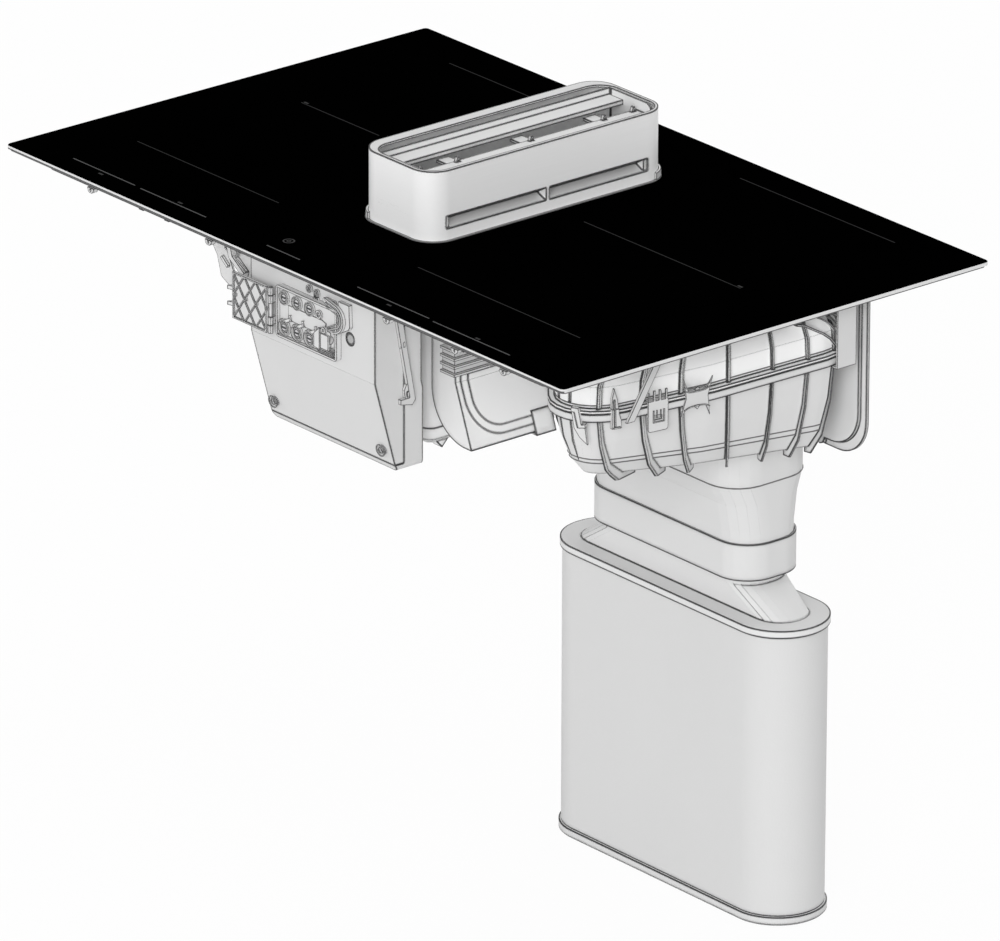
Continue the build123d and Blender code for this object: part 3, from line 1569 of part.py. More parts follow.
with BuildPart() as impeller:
    with BuildSketch(Plane.XY.offset(impeller_top - impeller_plate)):
        with Locations((fan_x, fan_y)):
            RegularPolygon(impeller_radius, wheel_sides)
    extrude(amount=impeller_plate)
    with BuildSketch(Plane.XY.offset(impeller_top - impeller_height)):
        with Locations((fan_x, fan_y)):
            RegularPolygon(impeller_radius, wheel_sides)
            RegularPolygon(blade_inner_radius, wheel_sides, mode=Mode.SUBTRACT)
    extrude(amount=impeller_plate)
    with BuildSketch(Plane.XY.offset(impeller_top - impeller_hub_height)):
        with Locations((fan_x, fan_y)):
            RegularPolygon(impeller_hub_radius, small_round_sides * 2)
    extrude(amount=impeller_hub_height)
    with BuildSketch(Plane.XY.offset(impeller_top - impeller_plate)):
        with Locations((fan_x, fan_y)):
            with PolarLocations(0, impeller_blades):
                add(blade.sketch)
    extrude(amount=-blade_length)
    with BuildSketch(Plane.XY.offset(impeller_top)):
        with Locations((fan_x, fan_y)):
            Circle(shaft_radius + shaft_clearance)
    extrude(amount=-impeller_height, mode=Mode.SUBTRACT)
finish_part(impeller.part, "impeller")

# ---------------------------------------------------------------- flat duct under the fan
sleeve_inner_width = sleeve_width - 2 * sleeve_wall
sleeve_inner_depth = sleeve_depth - 2 * sleeve_wall
sleeve_inner_corner = sleeve_corner - sleeve_wall
duct_facet = 18.0
tail_width = sleeve_inner_width - 2 * sleeve_fit
tail_depth = sleeve_inner_depth - 2 * sleeve_fit
tail_corner = sleeve_inner_corner - sleeve_fit


def round_outline(z, width, depth, corner):
    """Draw a level outline with round corners about the flat duct's axis."""
    with BuildSketch(Plane.XY.offset(z)) as outline:
        with Locations((duct_x, duct_y)):
            RectangleRounded(width, depth, corner)
    return outline.sketch


def duct_outline(z, width, depth, corner):
    """Draw a level outline whose corners are rounded in flats about the flat duct's axis."""
    sides = [
        (duct_x + across * width / 2, duct_y + along * depth / 2)
        for across, along in ((-1, -1), (1, -1), (1, 1), (-1, 1))
    ]
    with BuildSketch(Plane.XY.offset(z)) as outline:
        with BuildLine():
            Polyline(*rounded_points(sides, corner, 0, duct_facet), close=True)
        make_face()
    return outline.sketch


def adapter_body(inset):
    """Make the adapter's solid form set in by inset: a straight head, a curved waist, a straight tail."""
    waist = []
    for share in (0.0, 0.4, 1.0):
        left = (1 - share) ** 2
        z = adapter_shoulder + share * (adapter_waist - adapter_shoulder)
        waist.append(
            duct_outline(
                z,
                tail_width + left * (adapter_width - tail_width) - 2 * inset,
                tail_depth + left * (adapter_depth - tail_depth) - 2 * inset,
                tail_corner + left * (adapter_corner - tail_corner) - inset,
            )
        )
    with BuildPart() as body:
        head = duct_outline(
            adapter_top, adapter_width - 2 * inset, adapter_depth - 2 * inset, adapter_corner - inset
        )
        extrude(head, amount=adapter_shoulder - adapter_top)
        loft(waist, ruled=True)
        tail = duct_outline(
            adapter_waist, tail_width - 2 * inset, tail_depth - 2 * inset, tail_corner - inset
        )
        extrude(tail, amount=adapter_bottom - adapter_waist)
    return body.part


with BuildPart() as duct_adapter:
    add(adapter_body(0))
    add(adapter_body(air_wall), mode=Mode.SUBTRACT)
finish_part(duct_adapter.part, "duct_adapter")

with BuildPart() as duct_sleeve:
    sleeve_foot = sleeve_top - sleeve_height
    extrude(round_outline(sleeve_foot, sleeve_width, sleeve_depth, sleeve_corner), amount=sleeve_height)
    extrude(
        duct_outline(sleeve_foot, sleeve_inner_width, sleeve_inner_depth, sleeve_inner_corner),
        amount=sleeve_height,
        mode=Mode.SUBTRACT,
    )
finish_part(duct_sleeve.part, "duct_sleeve")

# ---------------------------------------------------------------- filter box
rim_width = filter_width + 2 * filter_rim
rim_depth = filter_depth + 2 * filter_rim
hood_top = sleeve_foot - spigot_show
spigot_top = sleeve_foot + spigot_inside
hood_corner = hood_depth / 2 - 0.1
cap_bottom = filter_top - filter_cap_height
box_bottom = filter_top - filter_total
base_top = box_bottom + filter_base_height


def stadium(z, width, depth):
    """Draw a level outline with round ends about the flat duct's axis."""
    return round_outline(z, width, depth, depth / 2 - 0.1)


def hood_body(inset):
    """Make the cap's hood and spigot set in by inset."""
    with BuildPart() as body:
        top = duct_outline(
            hood_top, spigot_width - 2 * inset, spigot_depth - 2 * inset, spigot_corner - inset
        )
        bottom = duct_outline(
            filter_top, hood_width - 2 * inset, hood_depth - 2 * inset, hood_corner - inset
        )
        loft([top, bottom], ruled=True)
        extrude(top, amount=spigot_top - hood_top)
    return body.part


with BuildPart() as filter_cap:
    add(hood_body(0))
    extrude(stadium(filter_top, rim_width, rim_depth), amount=-filter_cap_height)
    extrude(
        duct_outline(sleeve_foot + spigot_inside / 2, tail_width, tail_depth, tail_corner),
        amount=spigot_flange_height,
    )
    add(hood_body(air_wall), mode=Mode.SUBTRACT)
    extrude(
        duct_outline(
            filter_top, hood_width - 2 * air_wall, hood_depth - 2 * air_wall, hood_corner - air_wall
        ),
        amount=-filter_cap_height,
        mode=Mode.SUBTRACT,
    )
    extrude(
        duct_outline(
            spigot_top, spigot_width - 2 * air_wall, spigot_depth - 2 * air_wall, spigot_corner - air_wall
        ),
        amount=hood_top - spigot_top,
        mode=Mode.SUBTRACT,
    )
finish_part(filter_cap.part, "filter_cap")

with BuildPart() as filter_body:
    shell_width = filter_width - 2 * filter_wall
    shell_depth = filter_depth - 2 * filter_wall
    extrude(stadium(cap_bottom, filter_width, filter_depth), amount=base_top - cap_bottom)
    extrude(
        duct_outline(cap_bottom, shell_width, shell_depth, shell_depth / 2 - 0.1),
        amount=base_top - cap_bottom,
        mode=Mode.SUBTRACT,
    )
finish_part(filter_body.part, "filter_body")

with BuildPart() as filter_base:
    extrude(stadium(box_bottom, rim_width, rim_depth), amount=filter_base_height)
    chamfer(filter_base.faces().sort_by(Axis.Z)[0].edges(), filter_edge)
finish_part(filter_base.part, "filter_base")
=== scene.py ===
import logging
import math
from dataclasses import dataclass, field
from enum import Enum
from functools import reduce
from typing import ClassVar, Dict, List, Optional, Sequence, Tuple, Union

import bpy
import numpy as np
from mathutils import Matrix, Vector


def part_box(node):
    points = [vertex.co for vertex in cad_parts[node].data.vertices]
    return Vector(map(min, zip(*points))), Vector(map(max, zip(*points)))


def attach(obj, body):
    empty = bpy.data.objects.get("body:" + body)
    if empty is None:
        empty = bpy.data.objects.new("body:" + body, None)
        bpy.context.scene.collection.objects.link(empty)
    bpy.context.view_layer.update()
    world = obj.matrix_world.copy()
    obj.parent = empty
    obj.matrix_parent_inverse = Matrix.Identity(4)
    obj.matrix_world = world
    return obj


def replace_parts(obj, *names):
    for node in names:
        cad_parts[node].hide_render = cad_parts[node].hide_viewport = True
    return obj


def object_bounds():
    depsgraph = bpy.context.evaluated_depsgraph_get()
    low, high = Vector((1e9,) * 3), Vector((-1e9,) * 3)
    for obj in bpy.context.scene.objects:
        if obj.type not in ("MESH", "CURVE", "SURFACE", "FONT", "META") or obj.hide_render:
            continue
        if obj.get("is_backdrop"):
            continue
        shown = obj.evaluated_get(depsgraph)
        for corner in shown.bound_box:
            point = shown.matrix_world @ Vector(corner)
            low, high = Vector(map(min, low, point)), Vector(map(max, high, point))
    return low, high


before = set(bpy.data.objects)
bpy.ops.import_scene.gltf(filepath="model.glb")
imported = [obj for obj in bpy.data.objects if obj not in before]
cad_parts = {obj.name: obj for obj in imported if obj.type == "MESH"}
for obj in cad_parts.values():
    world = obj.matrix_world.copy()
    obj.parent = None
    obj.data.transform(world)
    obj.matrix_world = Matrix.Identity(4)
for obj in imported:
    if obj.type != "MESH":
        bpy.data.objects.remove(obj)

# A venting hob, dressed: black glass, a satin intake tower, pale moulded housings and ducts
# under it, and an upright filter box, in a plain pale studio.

logging.basicConfig(level=logging.INFO, format="%(message)s")
LOG = logging.getLogger("venting_hob")

MM = 0.001
Grid = np.ndarray
Colour = Tuple[float, float, float]
Bar = Tuple[float, float, float]
Outline = Sequence[Tuple[float, float]]
Solids = Sequence[Tuple[Outline, float]]
Triple = Sequence[float]
Socket = bpy.types.NodeSocket
Number = Union["Signal", float]
Value = Union["Signal", float, Sequence[float], Socket]
Inputs = Dict[Union[str, int], Value]

NOISE_ROUGHNESS = 0.55
BEVEL_SAMPLES = 8
EDGE_TURN = (0.013, 0.022)  # one minus the cosine of the turn at which an edge line starts and is full
OUTLINE: Colour = (0.014, 0.014, 0.015)
LINE_WIDTH = 3.2 * MM
FINE_LINE = 1.5 * MM
LINE_LEVEL = 0.97
SOFT = 8.0 * MM
DRIFT = 0.035


# ---------------------------------------------------------------- shader graph
class Signal:
    """One number in a material's node tree, with Python's operators building its Math nodes."""

    def __init__(self, graph: "Graph", socket: Socket) -> None:
        """Wrap a graph's output socket that carries one number."""
        self.graph = graph
        self.socket = socket

    def _math(self, operation: str, *others: Number) -> "Signal":
        """Return a Math node's result, with this signal as its first input."""
        return self.graph.math(operation, self, *others)

    def __add__(self, other: Number) -> "Signal":
        """Return self + other."""
        return self._math("ADD", other)

    __radd__ = __add__

    def __mul__(self, other: Number) -> "Signal":
        """Return self * other."""
        return self._math("MULTIPLY", other)

    __rmul__ = __mul__

    def __sub__(self, other: Number) -> "Signal":
        """Return self - other."""
        return self._math("SUBTRACT", other)

    def __rsub__(self, other: float) -> "Signal":
        """Return other - self."""
        return self.graph.math("SUBTRACT", other, self)

    def __abs__(self) -> "Signal":
        """Return the absolute value of self."""
        return self._math("ABSOLUTE")

    def below(self, limit: Number) -> "Signal":
        """Return 1 where self is under the limit, else 0."""
        return self._math("LESS_THAN", limit)

    def above(self, limit: Number) -> "Signal":
        """Return 1 where self is over the limit, else 0."""
        return self._math("GREATER_THAN", limit)

    def largest(self, other: Number) -> "Signal":
        """Return the larger of self and other."""
        return self._math("MAXIMUM", other)

    def root(self) -> "Signal":
        """Return the square root of self."""
        return self._math("SQRT")

    def sine(self) -> "Signal":
        """Return the sine of self, in radians."""
        return self._math("SINE")

    def ramp(self, low: float, high: float) -> "Signal":
        """Return a smooth step from 0 at low to 1 at high."""
        inputs = {"Value": self, "From Min": low, "From Max": high}
        node = self.graph.add("ShaderNodeMapRange", inputs, interpolation_type="SMOOTHSTEP")
        return Signal(self.graph, node.outputs["Result"])


class Graph:
    """A material's node tree while it is being built."""

    def __init__(self, name: str) -> None:
        """Start an empty material.

        Args:
            name: the material's name.
        """
        self.material = bpy.data.materials.new(name)
        self.material.use_nodes = True
        self.tree = self.material.node_tree
        self.tree.nodes.clear()

    def add(self, kind: str, inputs: Optional[Inputs] = None, **settings: Union[str, int]) -> bpy.types.Node:
        """Add one node.

        Args:
            kind: the node's type.
            inputs: values or links by socket name or number.
            settings: attributes, set before the inputs.

        Returns:
            The new node.
        """
        node = self.tree.nodes.new(kind)
        for key, value in settings.items():
            setattr(node, key, value)
        for key, value in (inputs or {}).items():
            socket = node.inputs[key]
            if isinstance(value, Signal):
                value = value.socket
            if isinstance(value, Socket):
                self.tree.links.new(value, socket)
            elif socket.type == "RGBA":
                socket.default_value = (*value, 1.0)
            else:
                socket.default_value = value
        return node

    def math(self, operation: str, *values: Number) -> Signal:
        """Add a Math node on values or signals and return its result."""
        node = self.add("ShaderNodeMath", dict(enumerate(values)), operation=operation)
        return Signal(self, node.outputs[0])

    def _coordinates(self, output: str) -> Tuple[Socket, Signal, Signal, Signal]:
        """Return a texture coordinate as a vector and as its three numbers."""
        vector = self.add("ShaderNodeTexCoord").outputs[output]
        split = self.add("ShaderNodeSeparateXYZ", {0: vector})
        return (vector, *(Signal(self, split.outputs[number]) for number in range(3)))

    def place(self) -> Tuple[Socket, Signal, Signal, Signal]:
        """Return the object coordinates as a vector and as x, y and z, in metres."""
        return self._coordinates("Object")

    def facing(self) -> Tuple[Signal, Signal, Signal]:
        """Return the surface's own direction as three numbers in object space."""
        return self._coordinates("Normal")[1:]

    def stretch(self, vector: Socket, scale: Triple) -> Socket:
        """Return the vector multiplied by a scale for each axis."""
        return self.add("ShaderNodeVectorMath", {0: vector, 1: scale}, operation="MULTIPLY").outputs[0]

    def noise(self, vector: Socket, scale: float, detail: float = 2.0) -> Signal:
        """Return smooth noise from 0 to 1 with this many waves in a metre."""
        inputs = {"Vector": vector, "Scale": scale, "Detail": detail, "Roughness": NOISE_ROUGHNESS}
        return Signal(self, self.add("ShaderNodeTexNoise", inputs).outputs[0])

    def cells(self, vector: Socket, scale: float) -> Signal:
        """Return the distance to the nearest of scattered points, for a sparked mould's grain."""
        node = self.add("ShaderNodeTexVoronoi", {"Vector": vector, "Scale": scale})
        return Signal(self, node.outputs["Distance"])

    def mix(self, factor: Value, first: Value, second: Value) -> Socket:
        """Return two colours, or links to colours, mixed by how much of the second shows."""
        return self.add("ShaderNodeMix", {0: factor, 6: first, 7: second}, data_type="RGBA").outputs[2]

    def drift(self, colour: Colour, pattern: Signal) -> Socket:
        """Return a colour made a little darker and lighter by a pattern.

        Args:
            colour: the mean colour.
            pattern: the pattern, from 0 for darker to 1 for lighter.

        Returns:
            The colour's socket.
        """
        darker = tuple(c * (1 - DRIFT) for c in colour)
        lighter = tuple(min(1.0, c * (1 + DRIFT)) for c in colour)
        return self.mix(pattern, darker, lighter)

    def _blended(self, radius: float) -> Socket:
        """Return the surface's mean direction within this many metres."""
        return self.add("ShaderNodeBevel", {"Radius": radius}, samples=BEVEL_SAMPLES).outputs["Normal"]

    def outlined(self, base: Socket, width: float, level: float) -> Socket:
        """Darken the sharp edges: fully on an edge, not at all about half the width from it.

        The surface's direction is compared with its mean direction within the width, so flat and
        gently curved places keep their colour.

        Args:
            base: the colour away from the edges.
            width: the line's width in metres.
            level: how dark the line is, from 0 to 1.

        Returns:
            The colour's socket.
        """
        plain = self.add("ShaderNodeNewGeometry").outputs["Normal"]
        inputs = {0: self._blended(width), 1: plain}
        dot = self.add("ShaderNodeVectorMath", inputs, operation="DOT_PRODUCT")
        edge = (1.0 - Signal(self, dot.outputs["Value"])).ramp(*EDGE_TURN)
        return self.mix(edge * level, base, OUTLINE)

    def bump(self, height: Signal, distance: float, soften: float = 0.0) -> Socket:
        """Turn a height into a normal.

        Args:
            height: the relief's height from 0 to 1.
            distance: the relief's depth in metres.
            soften: the radius in metres over which the flats of a rounded wall blend.

        Returns:
            The normal.
        """
        inputs: Inputs = {"Height": height, "Distance": distance}
        if soften:
            inputs["Normal"] = self._blended(soften)
        return self.add("ShaderNodeBump", inputs).outputs["Normal"]

    def surface(self, **inputs: Value) -> bpy.types.Material:
        """Finish the material with a Principled shader.

        Args:
            inputs: its sockets, named with underscores for spaces.

        Returns:
            The material.
        """
        sockets = {key.replace("_", " "): value for key, value in inputs.items()}
        shader = self.add("ShaderNodeBsdfPrincipled", sockets)
        self.add("ShaderNodeOutputMaterial", {"Surface": shader.outputs[0]})
        return self.material


# ---------------------------------------------------------------- finishes
def grey(level: float) -> Colour:
    """Return a neutral colour."""
    return level, level, level


@dataclass(frozen=True)
class MouldedPlastic:
    """Moulded plastic with a sparked grain, faint flow marks and darkened edges.

    Attributes:
        name: the finish's name.
        colour: its base colour.
        grain: the grain's cells in a metre.
        relief: the grain's depth in metres.
        roughness: its mean roughness.
        line: how dark its edges are, from 0 to 1.
        line_width: the width of the edge lines in metres.
        soften: the radius over which a rounded wall's flats blend, in metres.
    """

    name: str
    colour: Colour
    grain: float = 900.0
    relief: float = 0.06 * MM
    roughness: float = 0.55
    line: float = LINE_LEVEL
    line_width: float = LINE_WIDTH
    soften: float = 0.0

    def material(self) -> bpy.types.Material:
        """Build the material and return it."""
        graph = Graph(self.name)
        vector = graph.place()[0]
        flow = graph.noise(graph.stretch(vector, (1.0, 1.0, 0.35)), 9.0, 3.0)
        speck = graph.cells(vector, self.grain)
        dust = graph.noise(vector, 240.0, 3.0)
        base = graph.drift(self.colour, flow * 0.75 + dust * 0.25)
        return graph.surface(
            Base_Color=graph.outlined(base, self.line_width, self.line),
            Roughness=self.roughness - 0.08 + 0.16 * dust,
            Specular_IOR_Level=0.3,
            Normal=graph.bump(speck * 0.7 + dust * 0.3, self.relief, self.soften),
        )


@dataclass(frozen=True)
class SatinMetal:
    """Anodised, brushed or plain sheet: fine streaks, a soft sheen and darkened edges.

    Attributes:
        name: the finish's name.
        colour: its base colour.
        streak: the pattern's waves in a metre along X, Y and Z; the smallest runs with the brushing.
        metallic: how metallic it is.
        line_width: the width of the edge lines in metres.
        inner: a darker colour painted on its flat, up-facing rims as painted shade against the light from
            above, if another.
    """

    name: str
    colour: Colour
    streak: Tuple[float, float, float]
    metallic: float = 0.08
    line_width: float = LINE_WIDTH
    inner: Optional[Colour] = None

    def material(self) -> bpy.types.Material:
        """Build the material and return it."""
        graph = Graph(self.name)
        vector = graph.place()[0]
        brushed = graph.noise(graph.stretch(vector, self.streak), 1.0, 3.0)
        base = graph.drift(self.colour, brushed * 0.6 + graph.noise(vector, 12.0) * 0.4)
        # painted shade: faces that look up take the darker colour, where the light from above falls most
        if self.inner:
            base = graph.mix(graph.facing()[2].above(0.7), base, self.inner)
        return graph.surface(
            Base_Color=graph.outlined(base, self.line_width, LINE_LEVEL),
            Metallic=self.metallic,
            Roughness=0.38 + 0.14 * brushed,
            Normal=graph.bump(brushed, 0.02 * MM),
        )


@dataclass(frozen=True)
class Print:
    """A kind of pale print on the glass.

    Attributes:
        half: half of its line's width in metres.
        level: how much of its ink shows, from 0 to 1.
    """

    half: float
    level: float


@dataclass(frozen=True)
class PrintedGlass:
    """Black glass-ceramic with thin pale prints on its face and a ground, paler edge.

    Attributes:
        name: the finish's name.
        face_z: the height of the glass's face in metres.
        zone_lines: the cooking zones' lines as (x0, x1, y) in metres.
        control_lines: the slider strips as (x0, x1, y) in metres.
        marks: the middles of small dashes as (x, y) in metres.
        ring: the middle of the ring mark in metres.
    """

    name: str
    face_z: float
    zone_lines: Tuple[Bar, ...]
    control_lines: Tuple[Bar, ...]
    marks: Tuple[Tuple[float, float], ...]
    ring: Tuple[float, float]

    ZONE = Print(0.6 * MM, 0.07)
    CONTROL = Print(0.7 * MM, 0.22)
    MARK = Print(1.2 * MM, 0.10)
    MARK_HALF = 3.2 * MM
    RING_LEVEL = 0.12
    RING_LINES = ((5.2 * MM, 0.7 * MM), (1.8 * MM, 0.6 * MM))
    GROUND_DEPTH = 4.6 * MM
    SHADE_DEPTH = 2.6 * MM
    SHADE_LEVEL = 0.85

    @staticmethod
    def _bars(x: Signal, y: Signal, bars: Sequence[Bar], ink: Print) -> Signal:
        """Print thin bars along X.

        Args:
            x: the place along X.
            y: the place along Y.
            bars: each bar's start, end and Y, in metres.
            ink: the print they are made in.

        Returns:
            The ink's level on a bar, else 0.
        """
        marks = [
            abs(x - (start + end) / 2).below((end - start) / 2) * abs(y - level).below(ink.half)
            for start, end, level in bars
        ]
        return reduce(Signal.largest, marks) * ink.level

    def material(self) -> bpy.types.Material:
        """Build the material and return it."""
        graph = Graph(self.name)
        vector, x, y, z = graph.place()
        _, ahead, up = graph.facing()
        dashes = [(at - self.MARK_HALF, at + self.MARK_HALF, level) for at, level in self.marks]
        dx, dy = x - self.ring[0], y - self.ring[1]
        radius = (dx * dx + dy * dy).root()
        rings = [abs(radius - middle).below(half) for middle, half in self.RING_LINES]
        ink = reduce(Signal.largest, (
            self._bars(x, y, self.zone_lines, self.ZONE),
            self._bars(x, y, self.control_lines, self.CONTROL),
            self._bars(x, y, dashes, self.MARK),
            rings[0].largest(rings[1]) * self.RING_LEVEL,
        ))
        grain = graph.noise(vector, 700.0)
        smear = graph.noise(graph.stretch(vector, (1.0, 0.4, 1.0)), 6.0, 3.0)
        face = graph.mix(ink * up.above(0.9), graph.mix(smear, grey(0.0001), grey(0.0004)), grey(0.42))
        side = abs(up).below(0.5) * z.above(self.face_z - self.GROUND_DEPTH)
        shade = ahead.below(-0.5) * z.below(self.face_z - self.SHADE_DEPTH) * self.SHADE_LEVEL
        edge = graph.mix(shade, graph.mix(grain, grey(0.62), grey(0.72)), OUTLINE)
        return graph.surface(
            Base_Color=graph.mix(side, face, edge),
            Roughness=(0.10 + 0.06 * smear).largest(side * 0.5).largest(ink * 0.5),
            IOR=1.0,
            Normal=graph.bump(grain, 0.004 * MM),
        )


@dataclass(frozen=True)
class WoundCoil:
    """Stranded copper winding: rings about each coil's middle, with the strands' fine twist.

    Attributes:
        name: the finish's name.
        middle: the coil's middle in metres.
    """

    name: str
    middle: Tuple[float, float]

    PITCH = 3.2 * MM
    SQUASH = 0.8

    def material(self) -> bpy.types.Material:
        """Build the material and return it."""
        graph = Graph(self.name)
        vector, x, y, _ = graph.place()
        dx, dy = (x - self.middle[0]) * self.SQUASH, y - self.middle[1]
        radius = (dx * dx + dy * dy).root()
        turns = ((radius * (2 * math.pi / self.PITCH)).sine() + 1.0) * 0.5
        strand = graph.noise(vector, 1800.0)
        return graph.surface(
            Base_Color=graph.mix(turns * 0.7 + strand * 0.3, (0.16, 0.07, 0.03), (0.62, 0.34, 0.19)),
            Metallic=0.6,
            Roughness=0.35 + 0.2 * strand,
            Normal=graph.bump(turns * 0.8 + strand * 0.2, 0.6 * MM),
        )


@dataclass(frozen=True)
class CircuitBoard:
    """Green solder mask with pale tracks.

    Attributes:
        name: the finish's name.
    """

    name: str

    def material(self) -> bpy.types.Material:
        """Build the material and return it."""
        graph = Graph(self.name)
        vector, x, _, z = graph.place()
        track = (x * 2600.0).sine() * (z * 1400.0).sine()
        speck = graph.noise(vector, 90.0)
        colour = graph.mix(track.above(0.72), (0.015, 0.10, 0.05), (0.05, 0.22, 0.12))
        return graph.surface(
            Base_Color=graph.mix(speck * 0.25, colour, (0.02, 0.05, 0.03)),
            Roughness=0.3 + 0.2 * speck,
            Normal=graph.bump(track, 0.04 * MM),
        )


@dataclass(frozen=True)
class SealFoam:
    """Dark closed-cell sealing tape.

    Attributes:
        name: the finish's name.
        colour: its base colour.
    """

    name: str
    colour: Colour

    def material(self) -> bpy.types.Material:
        """Build the material and return it."""
        graph = Graph(self.name)
        pores = graph.cells(graph.place()[0], 1400.0)
        return graph.surface(
            Base_Color=graph.mix(pores, self.colour, tuple(c * 1.7 for c in self.colour)),
            Roughness=0.8 + 0.1 * pores,
            Normal=graph.bump(pores, 0.1 * MM),
        )


Finish = Union[MouldedPlastic, SatinMetal, PrintedGlass, WoundCoil, CircuitBoard, SealFoam]


class Finishes:
    """Builds each finish once and hands out its material."""

    def __init__(self) -> None:
        """Start with no material built."""
        self._built: Dict[str, bpy.types.Material] = {}

    def get(self, finish: Finish) -> bpy.types.Material:
        """Return the finish's material, built on first use."""
        if finish.name not in self._built:
            self._built[finish.name] = finish.material()
        return self._built[finish.name]


DUCT_GRAIN = {"grain": 700.0, "relief": 0.04 * MM}
HOUSING = MouldedPlastic("housing_plastic", grey(0.66), soften=SOFT)
# painted light: the crown is a paler copy of the housing plastic, to offset the shade the glass casts on it
CROWN_PAINTED_LIGHT = MouldedPlastic("housing_crown_painted_light", grey(0.92), soften=SOFT)
# painted light: a paler copy of the duct plastic for the parts that sit in shade under the glass and beside
# the case
SHADED_DUCT = MouldedPlastic("shaded_duct", grey(0.84), soften=SOFT, **DUCT_GRAIN)
DUCT = MouldedPlastic("duct_plastic", grey(0.64), soften=SOFT, **DUCT_GRAIN)
CAP = MouldedPlastic("filter_cap_plastic", grey(0.69), **DUCT_GRAIN)
FILTER_SHELL = MouldedPlastic("filter_shell", grey(0.62), grain=500.0, relief=0.08 * MM, soften=SOFT)
CASE = MouldedPlastic("case_plastic", grey(0.63), grain=1200.0)
SMALL_PLASTIC = MouldedPlastic("small_plastic", grey(0.64), grain=1600.0, line_width=FINE_LINE)
DARK_CLIP = MouldedPlastic("dark_moulding", grey(0.30), grain=1600.0, line_width=FINE_LINE)
BEAD = MouldedPlastic("bead_plastic", grey(0.16), grain=1600.0, line=0.2)
SIGHT = MouldedPlastic("sight_lens", grey(0.40), grain=2400.0, relief=0.01 * MM, roughness=0.3)
COLLAR = MouldedPlastic("collar_black", grey(0.30), line=0.6)
WHEEL = MouldedPlastic("impeller_plastic", (0.06, 0.06, 0.065), line=0.3)
# painted light and shade: the tower's walls are painted paler, to offset the light the black glass does not
# bounce up, and its up-facing rims darker, so the tower renders evenly
TOWER = SatinMetal("tower_metal", grey(0.94), (700.0, 12.0, 700.0), inner=grey(0.66))
CASSETTE = SatinMetal("cassette_steel", grey(0.72), (900.0, 10.0, 900.0))
MESH = SatinMetal("mesh_steel", (0.62, 0.62, 0.63), (400.0, 400.0, 400.0), metallic=0.3)
SHEET = SatinMetal("frame_metal", grey(0.66), (20.0, 400.0, 400.0))
CLIP = SatinMetal("clip_steel", grey(0.62), (500.0, 500.0, 60.0), line_width=FINE_LINE)
SCREW = SatinMetal("screw_steel", (0.55, 0.55, 0.56), (1500.0, 1500.0, 1500.0), line_width=FINE_LINE)
MOTOR = SatinMetal("motor_metal", (0.48, 0.48, 0.49), (300.0, 300.0, 300.0), metallic=0.8)
BOARD = CircuitBoard("circuit_board")
FOAM = SealFoam("seal_foam", (0.10, 0.10, 0.102))
GLASS = PrintedGlass(
    "black_glass",
    6.0 * MM,
    zone_lines=(
        (-0.341, -0.125, -0.158),
        (-0.326, -0.207, 0.031),
        (-0.321, -0.176, 0.212),
        (0.100, 0.323, 0.223),
        (0.096, 0.322, 0.033),
        (0.090, 0.325, -0.164),
    ),
    control_lines=(
        (-0.343, -0.248, -0.234),
        (-0.2385, -0.1385, -0.235),
        (-0.0445, 0.005, -0.237),
        (0.094, 0.199, -0.240),
        (0.207, 0.318, -0.242),
    ),
    marks=(
        (-0.293, -0.240),
        (-0.184, -0.230),
        (0.149, -0.247),
        (0.267, -0.238),
        (-0.322, 0.034),
        (0.318, 0.036),
    ),
    ring=(-0.040, -0.214),
)


# ---------------------------------------------------------------- places, in millimetres
FRONTWARD = (0.0, -1.0, 0.0)
UPWARD = (0.0, 0.0, 1.0)
PINHOLE = 0.05
FRAME_FACE = -238.0
LUG_DEPTH = 5.4
FRAME_LUGS = (-305.0, -125.0, 140.0, 239.5, 309.5)
CASE_FACE = -218.05
TERMINAL_FACE = -221.05
BRACKET_FACE = -204.5
UPPER_BARREL = 7.2
LOWER_BARREL = 8.4
SIGHT_PLACE = (56.0, -63.0)
STRAP_CATCHES = ((-186.0, -62.0), (-181.0, -113.0))
HOUSING_CORNERS = (
    (70.0, 5.0), (338.0, -212.0), (368.0, -155.0), (383.0, -50.0), (389.0, 128.0), (70.0, 128.0)
)
HOUSING_ROUND = 42.0
HOUSING_FRONT = -212.0
HOUSING_BACK = 128.0
SEAM_Z = -58.0
BEAD_START_X = 120.0
BEAD_END_Y = 120.0
BEAD_RADIUS = 0.7
# each bead's name, its inset from the flange, and its heights at the housing's front tip and back
BEADS = (
    ("bowl_bead_upper", 18.5, -105.36, -133.48),
    ("bowl_bead_lower", 20.0, -109.2, -139.6),
    ("crown_bead_lower", 6.4, -51.5, -51.5),
    ("crown_bead_upper", 14.0, -19.6, -19.6),
)
# the corner ribs' places on the outline, and the share of the rise at each of their levels
RIB_PLACES = (11, 13)
RIB_SHARE = np.array((0.0, 0.45, 0.8, 1.0))
# each run of a corner rib: its name, its insets, its first height and its rise
RIB_RUNS = (
    ("bowl", (7.5, 12.0, 20.5, 31.0), -64.0, -58.0),
    ("crown", (6.6, 7.2, 12.6, 26.0), -51.0, 38.0),
)
# the adapter's outline: its middle's x and y, its width and depth, and its corners' radius
ADAPTER = (225.0, 63.0, 230.0, 105.0, 34.0)
ADAPTER_SHOULDER = -189.0
# the shroud follows the adapter's outline up to this x and behind the higher y, its end at the lower
SHROUD_X = 240.0
SHROUD_Y = (60.0, 70.0)
SHROUD_Z = -123.0
SHROUD_SECTION = (1.6, 46.0)


# ---------------------------------------------------------------- meshes
def box_mm(node: str) -> Tuple[Vector, Vector]:
    """Return the low and high corners of a CAD node's box in millimetres."""
    low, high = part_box(node)
    return low / MM, high / MM


def unit(vectors: Grid) -> Grid:
    """Return vectors of length 1 in the same directions."""
    return vectors / np.linalg.norm(vectors, axis=-1, keepdims=True)


